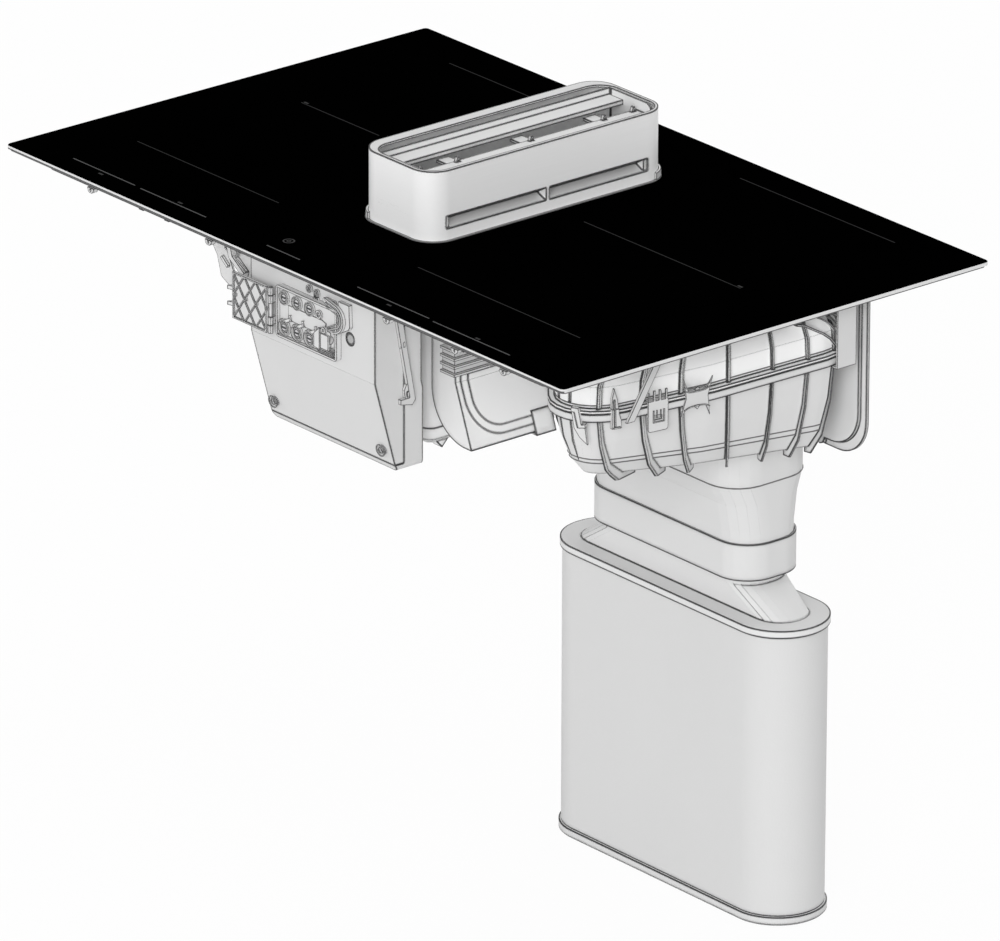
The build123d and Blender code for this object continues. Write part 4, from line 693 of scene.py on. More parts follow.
def mesh_piece(name: str, points: Grid, faces: Sequence[Sequence[int]]) -> bpy.types.Object:
    """Make a flat-shaded object.

    Args:
        name: the object's name.
        points: an (n, 3) array in metres.
        faces: each face's point numbers.

    Returns:
        The object, at the origin.
    """
    mesh = bpy.data.meshes.new(name)
    mesh.from_pydata(points.tolist(), [], faces)
    mesh.validate()
    mesh.polygons.foreach_set("use_smooth", np.zeros(len(mesh.polygons), bool))
    mesh.update()
    piece = bpy.data.objects.new(name, mesh)
    bpy.context.scene.collection.objects.link(piece)
    return piece


def grid_faces(rows: int, columns: int, close_rows: bool) -> Grid:
    """Number the four-cornered faces of a grid of points whose rows are closed.

    Args:
        rows: how many rows of points there are.
        columns: how many points each row has.
        close_rows: whether the last row joins the first.

    Returns:
        An (m, 4) array of point numbers.
    """
    steps = rows if close_rows else rows - 1
    r, c = (a.ravel() for a in np.meshgrid(np.arange(steps), np.arange(columns), indexing="ij"))
    r2, c2 = (r + 1) % rows, (c + 1) % columns
    return np.stack([r * columns + c, r * columns + c2, r2 * columns + c2, r2 * columns + c], 1)


def flat_profile(width: float, height: float) -> Grid:
    """Return a rectangle's outline, width by height, about its middle."""
    return np.array([(-1, -1), (1, -1), (1, 1), (-1, 1)], float) * (width / 2, height / 2)


def round_profile(radius: float, sides: int = 6) -> Grid:
    """Return a circle's outline: radius times (cos t, sin t)."""
    turn = np.linspace(0, 2 * math.pi, sides, endpoint=False)
    return radius * np.stack([np.cos(turn), np.sin(turn)], 1)


def rounded(x: float, z: float, width: float, height: float, radius: float, steps: int = 4) -> Grid:
    """Return a rectangle's outline about (x, z) with round corners.

    Each corner's points are its arc's middle + radius (cos t, sin t).

    Args:
        x: the middle's x.
        z: the middle's y or z.
        width: the width along x.
        height: the height.
        radius: the corners' radius.
        steps: how many steps each corner has.

    Returns:
        The outline's points.
    """
    quarter = np.linspace(0, math.pi / 2, steps + 1)
    turn = (quarter[None] + np.arange(4)[:, None] * math.pi / 2).ravel()
    signs = np.repeat([(1, 1), (-1, 1), (-1, -1), (1, -1)], steps + 1, axis=0)
    corner = signs * (width / 2 - radius, height / 2 - radius) + (x, z)
    return corner + radius * np.stack([np.cos(turn), np.sin(turn)], 1)


def band(points: Outline, width: float) -> Grid:
    """Return the closed outline of a bent strip: each point moved half the width along its normal.

    Args:
        points: the strip's middle line.
        width: its width.

    Returns:
        The outline's points.
    """
    line = np.asarray(points, float)
    tangent = unit(np.gradient(line, axis=0))
    normal = np.stack([-tangent[:, 1], tangent[:, 0]], 1) * width / 2
    return np.concatenate([line + normal, (line - normal)[::-1]])


@dataclass
class Shape:
    """Simple closed solids gathered into one mesh, given in millimetres.

    Attributes:
        points: each solid's points.
        faces: every face's point numbers.
        count: how many points there are so far.
    """

    points: List[Grid] = field(default_factory=list)
    faces: List[List[int]] = field(default_factory=list)
    count: int = 0

    def _take(self, points: Grid, *faces: Grid) -> "Shape":
        """Add a solid.

        Args:
            points: its points.
            faces: groups of faces, as numbers of its points.

        Returns:
            This shape.
        """
        self.points.append(points)
        for group in faces:
            self.faces.extend((group + self.count).tolist())
        self.count += len(points)
        return self

    def prism(
        self, outline: Outline, origin: Triple, along: Triple, across: Triple, depth: Triple
    ) -> "Shape":
        """Push a flat outline through a depth: origin + x * along + y * across, plus depth.

        Args:
            outline: the outline's (x, y) points.
            origin: where the outline's (0, 0) lies.
            along: the direction of its x.
            across: the direction of its y.
            depth: the push, as a vector.

        Returns:
            This shape.
        """
        flat = np.asarray(outline, float)
        x, y = flat[:, 0], flat[:, 1]
        area = (x * np.roll(y, -1) - np.roll(x, -1) * y).sum()
        if area * np.dot(np.cross(along, across), depth) < 0:
            flat = flat[::-1]
        near = np.asarray(origin, float) + flat[:, :1] * np.array(along) + flat[:, 1:] * np.array(across)
        count = len(flat)
        number = np.arange(count)
        after = np.roll(number, -1)
        walls = np.stack([number, after, after + count, number + count], 1)
        points = np.concatenate([near, near + np.asarray(depth, float)])
        return self._take(points, walls, number[None, ::-1], number[None] + count)

    def on_front(self, outline: Outline, y: float, depth: float, x: float = 0.0, z: float = 0.0) -> "Shape":
        """Push an outline about (x, z) from the plane at y towards the front."""
        return self.prism(outline, (x, y, z), (1, 0, 0), UPWARD, (0, -depth, 0))

    def on_side(self, outline: Outline, x: float, depth: float, y: float = 0.0, z: float = 0.0) -> "Shape":
        """Push an outline about (y, z) from the plane at x towards the right."""
        return self.prism(outline, (x, y, z), (0, 1, 0), UPWARD, (depth, 0, 0))

    def turned(self, centre: Triple, axis: Triple, profile: Outline, sides: int = 24) -> "Shape":
        """Turn a closed profile about an axis: centre + r (cos t, sin t) + h * axis.

        Args:
            centre: a point on the axis.
            axis: the axis's unit direction.
            profile: the profile's (r, h) points, anticlockwise.
            sides: how many steps the turn has.

        Returns:
            This shape.
        """
        axis = np.asarray(axis, float)
        first = unit(np.cross(axis, UPWARD if abs(axis[2]) < 0.9 else (1.0, 0.0, 0.0)))
        second = np.cross(axis, first)
        turn = np.linspace(0, 2 * math.pi, sides, endpoint=False)
        spoke = np.cos(turn)[:, None] * first + np.sin(turn)[:, None] * second
        section = np.asarray(profile, float)
        rings = spoke[:, None] * section[None, :, :1] + axis * section[None, :, 1:]
        points = (np.asarray(centre, float) + rings).reshape(-1, 3)
        return self._take(points, grid_faces(sides, len(section), True)[:, ::-1])

    def ring(
        self, centre: Triple, inner: float, outer: float, rise: float, axis: Triple = FRONTWARD
    ) -> "Shape":
        """Add a flat ring that rises along its axis."""
        return self.turned(centre, axis, ((inner, 0), (outer, 0), (outer, rise), (inner, rise)))

    def disc(self, centre: Triple, radius: float, rise: float) -> "Shape":
        """Add a disc with a pinhole in its middle that rises towards the front."""
        return self.ring(centre, PINHOLE, radius, rise)

    def swept(self, path: Grid, profile: Grid, up: Triple = UPWARD) -> "Shape":
        """Carry a closed profile along an open path, with flat ends.

        Each ring of points is path + side * profile_x + lift * profile_y, where side is the unit
        of (tangent x up) and lift is (side x tangent).

        Args:
            path: an (n, 3) array of points.
            profile: an (m, 2) closed outline, anticlockwise.
            up: a direction that is never along the path.

        Returns:
            This shape.
        """
        tangent = unit(np.gradient(path, axis=0))
        side = unit(np.cross(tangent, up))
        lift = np.cross(side, tangent)
        rings = path[:, None] + side[:, None] * profile[None, :, :1] + lift[:, None] * profile[None, :, 1:]
        rows, columns = rings.shape[:2]
        ring = np.arange(columns)
        after = (ring + 1) % columns
        last = (rows - 1) * columns
        start_cap = np.stack([ring, after, np.full(columns, rows * columns)], 1)
        end_cap = np.stack([last + after, last + ring, np.full(columns, rows * columns + 1)], 1)
        points = np.concatenate([rings.reshape(-1, 3), path[:1], path[-1:]])
        return self._take(points, grid_faces(rows, columns, False)[:, ::-1], start_cap, end_cap)

    def piece(self, name: str) -> bpy.types.Object:
        """Make the gathered solids into one object in metres."""
        return mesh_piece(name, np.concatenate(self.points) * MM, self.faces)


# ---------------------------------------------------------------- sub-assemblies
@dataclass
class SubAssembly:
    """What every sub-assembly shares.

    Attributes:
        finishes: the shared store of materials.
        COATS: each finish with the CAD nodes that it dresses.
    """

    finishes: Finishes
    COATS: ClassVar[Sequence[Tuple[Finish, str]]] = ()

    def build(self) -> None:
        """Dress the CAD nodes and add the fittings."""
        for finish, nodes in self.COATS:
            self.dress(finish, *nodes.split())
        self._fit()

    def _fit(self) -> None:
        """Add the sub-assembly's own fittings, if it has any."""

    def dress(self, finish: Finish, *nodes: str) -> None:
        """Give CAD nodes a finish.

        Args:
            finish: the finish.
            nodes: the nodes' names.
        """
        for name in nodes:
            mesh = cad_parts[name].data
            mesh.materials.clear()
            mesh.materials.append(self.finishes.get(finish))
            LOG.info("dressed %s in %s", name, finish.name)

    def settle(
        self, name: str, shape: Shape, slot: str, finish: Finish = SMALL_PLASTIC, body: str = "chassis"
    ) -> bpy.types.Object:
        """Make a shape into a piece, dress it and let it ride on its body.

        Args:
            name: the piece's name.
            shape: its solids.
            slot: the name of the record's material slot it belongs to; not used.
            finish: its finish.
            body: the CAD body that carries it.

        Returns:
            The piece.
        """
        piece = shape.piece(name)
        piece.data.materials.append(self.finishes.get(finish))
        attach(piece, body)
        LOG.info("built %s, %d faces", name, len(piece.data.polygons))
        return piece


@dataclass
class GlassHob(SubAssembly):
    """The glass, its seal, the frame with its trays and coils, and the collar."""

    COATS = (
        (GLASS, "glass_panel"),
        (FOAM, "worktop_seal"),
        (SHEET, "carrier_frame coil_tray_left coil_tray_right"),
        (COLLAR, "tower_collar"),
        (SMALL_PLASTIC, "corner_guide_left corner_guide_right"),
    )

    def _fit(self) -> None:
        """Dress each coil about its own middle and hang the frame's lugs."""
        for place in ("front_left", "front_right", "rear_left", "rear_right"):
            low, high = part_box(f"coil_{place}")
            middle = ((low.x + high.x) / 2, (low.y + high.y) / 2)
            self.dress(WoundCoil(f"winding_{place}", middle), f"coil_{place}")
        lugs = Shape()
        tab = ((-5, -11), (-4.2, -14.5), (-2, -16.2), (2, -16.2), (4.2, -14.5), (5, -11))
        for x in FRAME_LUGS:
            lugs.on_front(tab, FRAME_FACE, LUG_DEPTH, x).disc((x, FRAME_FACE - LUG_DEPTH, -13.2), 1.2, 0.6)
        self.settle("frame_lugs", lugs, "frame_metal")


@dataclass
class IntakeTower(SubAssembly):
    """The rising tower and the grease filter cassette in it."""

    COATS = ((TOWER, "tower_shell"), (CASSETTE, "baffle_plate filter_frame"), (MESH, "grease_mesh"))


@dataclass
class ElectronicsCase(SubAssembly):
    """The case with its mains terminal, lid and the small parts round it."""

    COATS = (
        (CASE, "electronics_cover electronics_tray"),
        (SCREW, "case_screw_1 case_screw_2 " + " ".join(f"terminal_screw_{n}" for n in range(1, 7))),
        (BOARD, "power_board"),
        (SMALL_PLASTIC, "terminal_frame terminal_block cord_clamp lid_hinge terminal_lid cable_bracket"),
        (CLIP, "side_strap"),
    )

    def _fit(self) -> None:
        """Add the terminal's, the lid's and the case's fittings."""
        self._terminals()
        self._gland()
        self._gland_screws()
        self._lid_fittings()
        self._case_fittings()
        self._bracket_web()

    def _bracket_web(self) -> None:
        """Add the cable bracket's outer web with its two struts and its lead guide."""
        left = ((-166.5, -13.0), (-165.6, -34.4), (-158.2, -43.9), (-152.0, -63.9))
        right = ((-133.2, -73.4), (-127.0, -66.0), (-143.5, -34.0), (-145.0, -13.0))
        web = Shape().on_front(left + right, BRACKET_FACE, 2.0)
        for line, width, depth in (
            (((-144.0, -32.0), (-111.7, -48.0)), 1.8, 2.4),
            (((-131.0, -42.5), (-122.5, -31.0)), 1.5, 2.0),
            (((-149.0, -43.0), (-139.3, -50.5)), 3.4, 2.6),
        ):
            web.on_front(band(line, width), BRACKET_FACE - 2.0, depth)
        self.settle("bracket_web", web, "clip_plastic")

    def _terminals(self) -> None:
        """Put a barrel round each terminal screw, tabs over the lower row and a plate between the rows."""
        face = TERMINAL_FACE
        screws = [(sum(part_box(f"terminal_screw_{n}"), Vector()) / 2) / MM for n in range(1, 7)]
        upper, lower = screws[:3], screws[3:]
        barrels = Shape()
        for number, (x, _, z) in enumerate(screws):
            radius = UPPER_BARREL if number < 3 else LOWER_BARREL
            wall = ((radius - 1.3, 0), (radius, 0), (radius, 2.6), (radius - 0.5, 3.0), (radius - 1.3, 3.0))
            barrels.turned((x, face, z), FRONTWARD, wall, 28)
        extra = (upper[2].x + 14.0, face, upper[2].z - 1.5)
        barrels.ring(extra, 2.2, 4.4, 2.4).disc(extra, 1.5, 1.6)
        self.settle("terminal_barrels", barrels, "terminal_plastic")
        tabs = Shape()
        for x, _, z in lower:
            for outline, off, depth in (
                (((-3, -1), (10, 5.5), (12, 2.5), (3, -2)), 1.4, 1.2),
                (((8, 7.5), (11, 8.5), (13, 2.5), (10, 1.5)), 0.0, 2.7),
                (((-6, -1), (-3, 1.2), (-1.5, -1.4), (-4.5, -3.4)), 0.8, 1.9),
            ):
                tabs.on_front(outline, face - off, depth, x, z + LOWER_BARREL - 1.0)
        self.settle("jumper_tabs", tabs, "terminal_plastic")
        left, right = lower[0].x + 5.5, lower[2].x + 24.0
        top, foot = upper[0].z - UPPER_BARREL + 1.2, lower[0].z + LOWER_BARREL + 0.6
        edge = ((right - 12, foot), (right - 2, foot + 6), (right, top - 2), (right - 6, top))
        plate = Shape().on_front(((left, top), (left, foot)) + edge, face, 0.9)
        self.settle("terminal_plate", plate, "terminal_plastic")

    def _gland(self) -> None:
        """Build the cord gland at the terminal's right: its raised seat, nested hoops and clamp body."""
        high = box_mm("terminal_frame")[1]
        seat = ((0.3, 9), (16, 9), (17, -13), (15, -16), (0.3, -24))
        seat = Shape().on_front(seat, CASE_FACE, 4.0, high.x, high.z)
        self.settle("gland_seat", seat, "terminal_plastic")
        hoops = Shape()
        turn = np.linspace(math.radians(70), math.radians(-80), 9)
        for step, width in ((0.0, 2.2), (4.2, 1.8), (8.0, 1.4)):
            reach = 13.5 - step
            bend = np.stack([reach * np.cos(turn) - 3, reach * np.sin(turn) - 9], 1)
            path = np.concatenate([[(-16, reach - 6)], bend, [(-14, -18 - reach * 0.6)]])
            hoops.on_front(band(path, width), CASE_FACE - 4.2, 3.4 - step * 0.2, high.x, high.z)
        self.settle("gland_hoops", hoops, "terminal_plastic")
        low, high = box_mm("cord_clamp")
        middle = ((low + high) / 2).z
        face = low.y - 0.3
        cheek = ((-3, low.z - 4), (-3, middle + 2), (5, high.z + 1), (5, low.z - 5))
        body = Shape().on_front(cheek, face, 1.6, low.x)
        body.on_front(rounded(high.x - 7, middle - 3, 11, 15, 1.0), face, 2.0)
        for number in range(4):
            left, right, level = low.x - 8 + number, high.x - 1, low.z - 3.4 - 2.1 * number
            fin = ((left, level), (right, level), (right, level - 1.1), (left + 1, level - 1.1))
            body.on_front(fin, TERMINAL_FACE, 5.0 - 0.6 * number)
        body.ring((high.x - 8, face, high.z + 0.5), 1.3, 3.4, 2.4)
        self.settle("clamp_body", body, "terminal_plastic")

    def _gland_screws(self) -> None:
        """Add the gland's three screws and its oval window."""
        high = box_mm("terminal_frame")[1]
        screws = Shape()
        for x, z in ((-46, 7.5), (-35, 6.0), (-36, -0.5)):
            centre = (high.x + x, CASE_FACE, high.z + z)
            screws.ring(centre, 2.4, 3.9, 2.6).ring(centre, 0.6, 1.6, 2.0)
        screws.on_front(rounded(-15, 3.4, 18, 5.5, 2.4), CASE_FACE, 3.0, high.x, high.z)
        screws.on_front(rounded(-11, 3.4, 8, 2.4, 1.0), CASE_FACE - 3.0, 1.4, high.x, high.z)
        self.settle("gland_screws", screws, "terminal_plastic")

    def _lid_fittings(self) -> None:
        """Put bosses on the lid's lattice and two stacks of sloping lugs beside the hinge."""
        low, high = box_mm("terminal_lid")
        pitch = (high.x - low.x - 12.6) / 3
        bosses = Shape()
        for number in range(4):
            x = low.x + 9.6 + (number + 0.08) * pitch * 0.93
            bosses.ring((x, low.y + 1.9, (low.z + high.z) / 2 + 1.0), 1.0, 2.3, 1.8)
        self.settle("lid_bosses", bosses, "lid_plastic", body="terminal_lid")
        low, high = box_mm("lid_hinge")
        x = (low.x + high.x) / 2
        lugs = Shape()
        for top in (high.z - 9.5, low.z + 12.5):
            for number in range(3):
                knuckle = ((1.2, 0), (5.4, 1.4), (5.4, 0.2), (1.2, -1.2))
                lugs.on_front(knuckle, CASE_FACE, 5.4 - 0.5 * number, x, top - number * 2.9)
        self.settle("hinge_lugs", lugs, "lid_plastic", DARK_CLIP)

    def _case_fittings(self) -> None:
        """Add the rings round the case's screws, the sight lens and the strap's small catches."""
        rings = Shape()
        slope = unit(np.array((0.0, -1.0, -0.16)))
        for number in (1, 2):
            low, high = box_mm(f"case_screw_{number}")
            middle = (low + high) / 2
            front = (middle.x, low.y - 0.2, middle.z)
            rings.ring(front, 5.2, 6.4, 1.2, slope).ring(front, 2.6, 3.3, 0.9, slope)
        self.settle("case_screw_rings", rings, "case_plastic")
        lens = Shape().disc((SIGHT_PLACE[0], CASE_FACE + 1.4, SIGHT_PLACE[1]), 5.7, 1.0)
        self.settle("sight_lens", lens, "case_plastic", SIGHT)
        x = box_mm("side_strap")[0].x
        hook = ((-3, -6), (2, -8), (3.4, -3), (1, 1), (2.6, 7), (-1.4, 8), (-4, 2))
        catches = Shape()
        for y, z in STRAP_CATCHES:
            catches.on_side(hook, x, 3.0, y, z)
            catches.on_side(((-1, -5), (1.4, -5), (1.0, 1), (-1.4, 0)), x + 3.0, 1.2, y, z)
        self.settle("strap_catches", catches, "case_plastic")


@dataclass
class AirPath(SubAssembly):
    """The well, the ducts, the fan's housing and what holds it."""

    COATS = (
        # the ducts in shade take the painted-light copy of the duct plastic
        (SHADED_DUCT, "intake_well drip_tray transfer_duct duct_neck duct_clip"),
        (SMALL_PLASTIC, "guide_rail_front guide_rail_rear cable_plug seam_latch"),
        # the upper housing takes the painted-light copy of the housing plastic
        (CROWN_PAINTED_LIGHT, "air_housing_upper"),
        (HOUSING, "air_housing_lower end_cover"),
        (CLIP, "star_clip brace_strut hanger_strap"),
        (MOTOR, "fan_motor"),
        (WHEEL, "impeller"),
    )

    def _fit(self) -> None:
        """Add the housing's, the plug's and the adapter's fittings."""
        self._beads()
        self._latch()
        self._star()
        self._hooked_clips()
        self._crown_fins()
        self._corner_ribs()
        self._plug_leads()
        self._adapter_head()

    @staticmethod
    def _outline(inset: float) -> Grid:
        """Return the housing's outline set in by inset, with each corner an arc about one middle.

        The middle of a corner's arc is corner + R / (1 + n1.n2) * (n1 + n2), where n1 and n2 are
        the inward normals of its two sides, and the arc's radius is R - inset.

        Args:
            inset: how far in from the outline, in millimetres.

        Returns:
            The (x, y) points, closed by a copy of the first.
        """
        corner = np.asarray(HOUSING_CORNERS, float)
        before = corner - np.roll(corner, 1, 0)
        after = np.roll(corner, -1, 0) - corner
        arriving = np.arctan2(before[:, 1], before[:, 0])
        turn = (np.arctan2(after[:, 1], after[:, 0]) - arriving) % (2 * math.pi)
        leaving = arriving + turn
        normals = np.stack([-np.sin(arriving) - np.sin(leaving), np.cos(arriving) + np.cos(leaving)], 1)
        middle = corner + HOUSING_ROUND / (1 + np.cos(turn))[:, None] * normals
        heading = arriving[:, None] + turn[:, None] * np.linspace(0, 1, 9)
        spoke = np.stack([np.sin(heading), -np.cos(heading)], 2)
        points = (middle[:, None] + (HOUSING_ROUND - inset) * spoke).reshape(-1, 2)
        return np.concatenate([points, points[:1]])

    def _beads(self) -> None:
        """Lay the beads along the bowl's crease and the crown's shoulder."""
        for name, inset, front, back in BEADS:
            plan = self._outline(inset)
            share = (plan[:, 1] - HOUSING_FRONT) / (HOUSING_BACK - HOUSING_FRONT)
            keep = (plan[:, 0] > BEAD_START_X) & (plan[:, 1] < BEAD_END_Y)
            path = np.column_stack([plan, front + share * (back - front)])[keep]
            self.settle(name, Shape().swept(path, round_profile(BEAD_RADIUS)), "housing_plastic", BEAD)

    def _adapter_head(self) -> None:
        """Run a bead round the adapter's shoulder, and close the housing over the adapter's head."""
        plan = rounded(*ADAPTER, steps=8)
        ring = np.column_stack([plan, np.full(len(plan), ADAPTER_SHOULDER)])[[*range(len(plan)), 0]]
        self.settle("adapter_bead", Shape().swept(ring, round_profile(BEAD_RADIUS)), "duct_plastic", BEAD)
        low, high = SHROUD_Y
        head = plan[(plan[:, 1] > high) & (plan[:, 0] < SHROUD_X)]
        head = np.concatenate([[(SHROUD_X, head[0, 1])], head, [(head[-1, 0], low)]])
        wall = np.column_stack([head, np.full(len(head), SHROUD_Z)])
        shroud = Shape().swept(wall, flat_profile(*SHROUD_SECTION))
        self.settle("neck_shroud", shroud, "housing_plastic", HOUSING)

    def _corner_ribs(self) -> None:
        """Run slim ribs down the front corner, each from the crown over the seam and under the bowl.

        A rib's path takes one place of the outline at each level: P(k) = outline(inset(k)) at z(k).
        """
        count = len(RIB_SHARE)
        fine = np.linspace(0, count - 1, 13)
        for number, place in enumerate(RIB_PLACES):
            for side, insets, start, rise in RIB_RUNS:
                level = start + RIB_SHARE * rise
                path = np.array([(*self._outline(insets[k])[place], level[k]) for k in range(count)])
                path = np.stack([np.interp(fine, np.arange(count), path[:, axis]) for axis in range(3)], 1)
                rib = Shape().swept(path, flat_profile(2.4, 3.4), (1.0, -0.4, 0.0))
                self.settle(f"corner_rib_{side}_{number}", rib, "housing_plastic", HOUSING)

    def _crown_fins(self) -> None:
        """Stand the crown's back corner fins, which show beside the hanger strap."""
        fins = Shape()
        for curve, width in (
            (((50, -17), (60, -20), (72, -27), (84, -34), (93, -41), (100, -50), (103, -56)), 2.4),
            (((74, -15), (82, -19), (91, -25), (97, -32), (102, -41), (104, -47)), 1.4),
            (((84, -15), (93, -20), (99, -26), (104, -33)), 1.4),
            (((94, -14), (100, -18), (105, -23)), 1.4),
        ):
            fins.on_side(band(curve, width), 368.0, 14.4)
        self.settle("crown_fins", fins, "housing_plastic", HOUSING)

    @staticmethod
    def _beside(shape: Shape, outline: Outline, y: float, off: float, rise: float) -> None:
        """Push an outline out of the housing's right side.

        Args:
            shape: the shape that takes it.
            outline: its points, as distances along the side and up.
            y: the place of the outline's origin along Y.
            off: how far off the flange it starts, in millimetres.
            rise: how far it is pushed.
        """
        first, last = np.array(HOUSING_CORNERS[2:4])
        along = unit(last - first)
        outward = np.array((along[1], -along[0]))
        foot = first + (last - first) * (y - first[1]) / (last[1] - first[1]) + outward * off
        shape.prism(outline, (*foot, SEAM_Z), (*along, 0.0), UPWARD, (*(outward * rise), 0.0))

    def _latch(self) -> None:
        """Outline the latch's window and add its outer prongs."""
        low, high = box_mm("seam_latch")
        y = (low.y + high.y) / 2
        window = Shape()
        for left, right, top, foot in (
            (-6.4, -5.0, -4, -16.5),
            (5.0, 6.4, -4, -16.5),
            (-5.0, 5.0, -15.2, -16.5),
            (-2.6, -1.6, -4, -11.5),
            (1.6, 2.6, -4, -11.5),
        ):
            self._beside(window, ((left, top), (right, top), (right, foot), (left, foot)), y, 2.2, 0.9)
        for place in (-10.0, -5.0, 3.0, 8.0):
            prong = ((place - 1, 2), (place + 1, 2), (place + 0.2, 14), (place - 0.4, 14))
            self._beside(window, prong, y, 0.6, 1.2)
        self.settle("latch_window", window, "clip_plastic")

    def _star(self) -> None:
        """Add the star clip's curved crimps and its upper and lower points."""
        low, high = box_mm("star_clip")
        y = (low.y + high.y) / 2
        reach = np.linspace(-1.0, 1.0, 11)
        crimps = Shape()
        for rise, sag in ((8.6, 3.4), (5.6, 2.6), (-8.4, -3.0)):
            curve = np.stack([reach * 14.0, rise + sag * reach ** 2 * abs(reach)], 1)
            self._beside(crimps, band(curve, 1.2), y, 2.0, 1.0)
        for foot, tip, tail in ((8, 11, 6.6), (-9, -12, -7.6)):
            self._beside(crimps, ((-3, foot), (0, tip), (3, foot), (2, tail), (-2, tail)), y, 2.0, 1.1)
        self.settle("star_crimps", crimps, "clip_steel", CLIP)

    @staticmethod
    def _clip(foot: Triple, sunk: float, along: Tuple[float, float], solids: Solids) -> Shape:
        """Stand a clip of several thicknesses against the housing.

        Args:
            foot: the clip's origin on the housing.
            sunk: how far into the housing it starts.
            along: the direction of its outlines' x in plan.
            solids: its outlines, each with how far it is pushed.

        Returns:
            The clip.
        """
        outward = np.array((along[1], -along[0], 0.0))
        clip = Shape()
        for outline, rise in solids:
            clip.prism(outline, np.array(foot) - outward * sunk, (*along, 0.0), UPWARD, outward * rise)
        return clip

    def _hooked_clips(self) -> None:
        """Shape the corner's bent clip with its pointed flap, and the spiked clip on the first rib."""
        arm = ((-5, -50), (2.4, -50), (5.6, -66), (9.6, -64.6), (9.6, -68.4), (2.4, -69.6), (-1.4, -54.4))
        flap = ((-2.6, -54.4), (1.0, -69.6), (9.0, -69.0), (11.4, -85.4), (3.4, -79), (-2.4, -70.6))
        root = ((-5, -54.4),)
        solids = ((arm + root, 4.2), (root + flap, 3.0))
        bent = self._clip((345.0, -184.6, -1.5), 2.4, (0.90, 0.436), solids)
        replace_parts(self.settle("bent_corner_clip", bent, "clip_plastic"), "corner_clip")
        spiked = self._clip((368.0, -155.9, 0.0), 3.4, (0.26, 0.966), (
            (((-5, -53), (-4.6, -43), (-2.2, -33), (0.8, -43), (2.4, -53)), 3.6),
            (((-5, -72.4), (5, -72.4), (4.6, -64), (2.4, -58), (2.4, -53), (-5, -53)), 4.6),
            (((-2.6, -70), (-1.2, -70), (-1.8, -44), (-3.0, -44)), 5.2),
            (((-3.2, -72.4), (3.4, -72.4), (3.4, -70.8), (-3.2, -70.8)), 5.2),
        ))
        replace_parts(self.settle("spiked_rib_clip", spiked, "clip_steel", CLIP), "rib_clip")

    def _plug_leads(self) -> None:
        """Add the short flat contacts that stand out of the multi-way plug."""
        low, high = box_mm("cable_plug")
        contacts = Shape()
        for number, reach in enumerate((9.0, 14.0, 11.0)):
            outline = ((-6, -14), (reach - 5, -5), (reach - 7, -2), (-6, -8))
            origin = (high.x, high.y, low.z + 1.5 + number * 7.4)
            contacts.prism(outline, origin, (1, 0, 0), (0, 1, 0), (0, 0, 1.3))
        self.settle("plug_contacts", contacts, "clip_steel", CLIP)


@dataclass
class FlatDuct(SubAssembly):
    """The adapter, the sleeve and the filter box that hangs in it."""

    COATS = (
        (DUCT, "duct_adapter duct_sleeve filter_base"),
        (CAP, "filter_cap"),
        (FILTER_SHELL, "filter_body"),
    )


# ---------------------------------------------------------------- studio
class Lamp(Enum):
    """The studio's lamps: direction from which each shines, its strength and its spread in degrees."""

    KEY = ((0.60, -0.72, 0.34), 1.72, 35.0)
    TOP = ((0.04, -0.04, 1.0), 0.55, 50.0)
    LEFT = ((-0.80, -0.55, 0.15), 0.6, 60.0)
    BACK = ((-0.25, 0.92, 0.15), 1.5, 60.0)


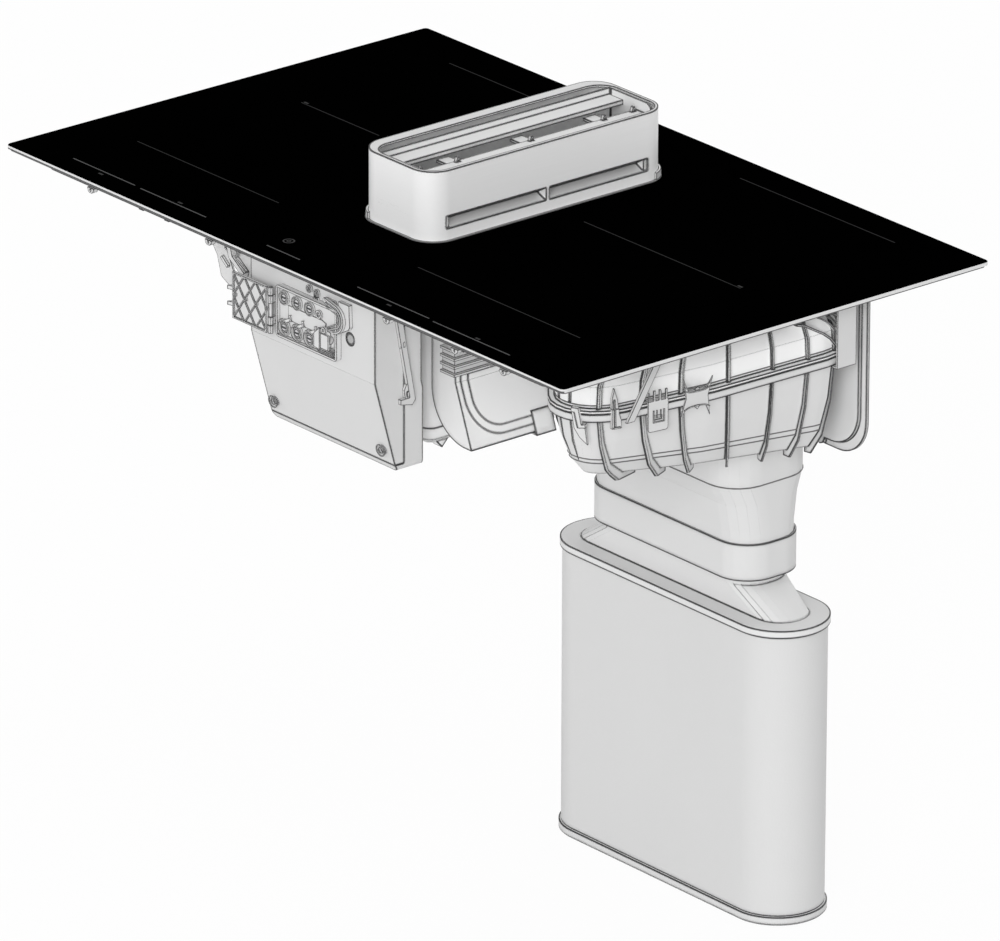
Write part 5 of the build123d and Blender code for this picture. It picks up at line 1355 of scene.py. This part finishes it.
@dataclass
class Studio:
    """The floor, the lamps, the world and the camera.

    Attributes:
        floor_z: the floor's height in metres.
        floor_size: the floor's half width in metres.
        world: the world's plain level.
        lens: the camera's focal length in millimetres.
        place: the camera's place in metres.
        right: the camera's rightward direction.
        upward: the camera's upward direction.
        forward: the camera's viewing direction.
    """

    floor_z: float
    floor_size: float = 60.0
    world: float = 0.52
    lens: float = 457.052
    place: Tuple[float, float, float] = (8.645149, -7.171226, 4.23045)
    right: Tuple[float, float, float] = (0.638171, 0.769890, 0.002735)
    upward: Tuple[float, float, float] = (-0.287834, 0.235291, 0.928326)
    forward: Tuple[float, float, float] = (-0.714065, 0.593218, -0.371757)

    def build(self) -> None:
        """Make the floor, the world, the lamps and the camera."""
        self._floor()
        self._world()
        for lamp in Lamp:
            self._lamp(lamp)
        self._camera()

    def _floor(self) -> None:
        """Lay a plain white floor that keeps a faint shadow: mostly its own white, partly lit."""
        half = self.floor_size
        points = np.column_stack([flat_profile(2 * half, 2 * half), np.full(4, self.floor_z)])
        floor = mesh_piece("studio_floor", points, [[0, 1, 2, 3]])
        graph = Graph("studio_floor")
        path = graph.add("ShaderNodeLightPath")
        seen = Signal(graph, path.outputs["Is Camera Ray"])
        for ray in ("Is Glossy Ray", "Is Transmission Ray"):
            seen = seen.largest(Signal(graph, path.outputs[ray]))
        fleck = graph.noise(graph.place()[0], 3.0)
        paper = graph.add("ShaderNodeBsdfDiffuse", {"Color": graph.mix(fleck, grey(0.80), grey(0.82))})
        white = graph.add("ShaderNodeEmission", {"Color": grey(1.0), "Strength": 1.0})
        inputs = {0: seen * 0.95, 1: paper.outputs[0], 2: white.outputs[0]}
        shader = graph.add("ShaderNodeMixShader", inputs)
        graph.add("ShaderNodeOutputMaterial", {"Surface": shader.outputs[0]})
        floor.data.materials.append(graph.material)
        floor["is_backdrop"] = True

    def _world(self) -> None:
        """Give the world one plain level."""
        world = bpy.data.worlds.new("studio")
        world.use_nodes = True
        background = world.node_tree.nodes["Background"]
        background.inputs["Color"].default_value = (1.0, 1.0, 1.0, 1.0)
        background.inputs["Strength"].default_value = self.world
        bpy.context.scene.world = world

    def _lamp(self, lamp: Lamp) -> None:
        """Hang one wide soft lamp.

        Args:
            lamp: which lamp.
        """
        source, strength, spread = lamp.value
        data = bpy.data.lights.new(f"lamp_{lamp.name.lower()}", "SUN")
        data.energy = strength
        data.angle = math.radians(spread)
        holder = bpy.data.objects.new(data.name, data)
        back = unit(np.array(source))
        side = unit(np.cross(UPWARD if abs(back[2]) < 0.95 else (0.0, 1.0, 0.0), back))
        up = np.cross(back, side)
        holder.matrix_world = Matrix([[side[i], up[i], back[i], 0.0] for i in range(3)] + [[0, 0, 0, 1]])
        bpy.context.scene.collection.objects.link(holder)

    def _camera(self) -> None:
        """Set the camera far off with a long lens, so that the view is nearly parallel."""
        data = bpy.data.cameras.new("camera")
        data.lens = self.lens
        data.sensor_width = 36.0
        data.clip_start = 0.5
        data.clip_end = 200.0
        camera = bpy.data.objects.new("camera", data)
        rows = [[self.right[i], self.upward[i], -self.forward[i], self.place[i]] for i in range(3)]
        camera.matrix_world = Matrix(rows + [[0.0, 0.0, 0.0, 1.0]])
        bpy.context.scene.collection.objects.link(camera)
        bpy.context.scene.camera = camera


def plain(bounds: object) -> object:
    """Turn nested vectors into plain lists of numbers."""
    if hasattr(bounds, "__len__"):
        return [plain(item) for item in bounds]
    return float(bounds)


def main() -> None:
    """Build the sub-assemblies in order, then the studio, and work out the bounds before and after."""
    cad_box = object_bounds()
    finishes = Finishes()
    for part in (GlassHob, IntakeTower, ElectronicsCase, AirPath, FlatDuct):
        LOG.info("sub-assembly %s", part.__name__)
        part(finishes).build()
    Studio(floor_z=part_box("filter_base")[0].z - 0.0008).build()
    bpy.context.scene.view_settings.view_transform = "Standard"
    {"cad": plain(cad_box), "visual": plain(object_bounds())}


if __name__ == "__main__":
    main()
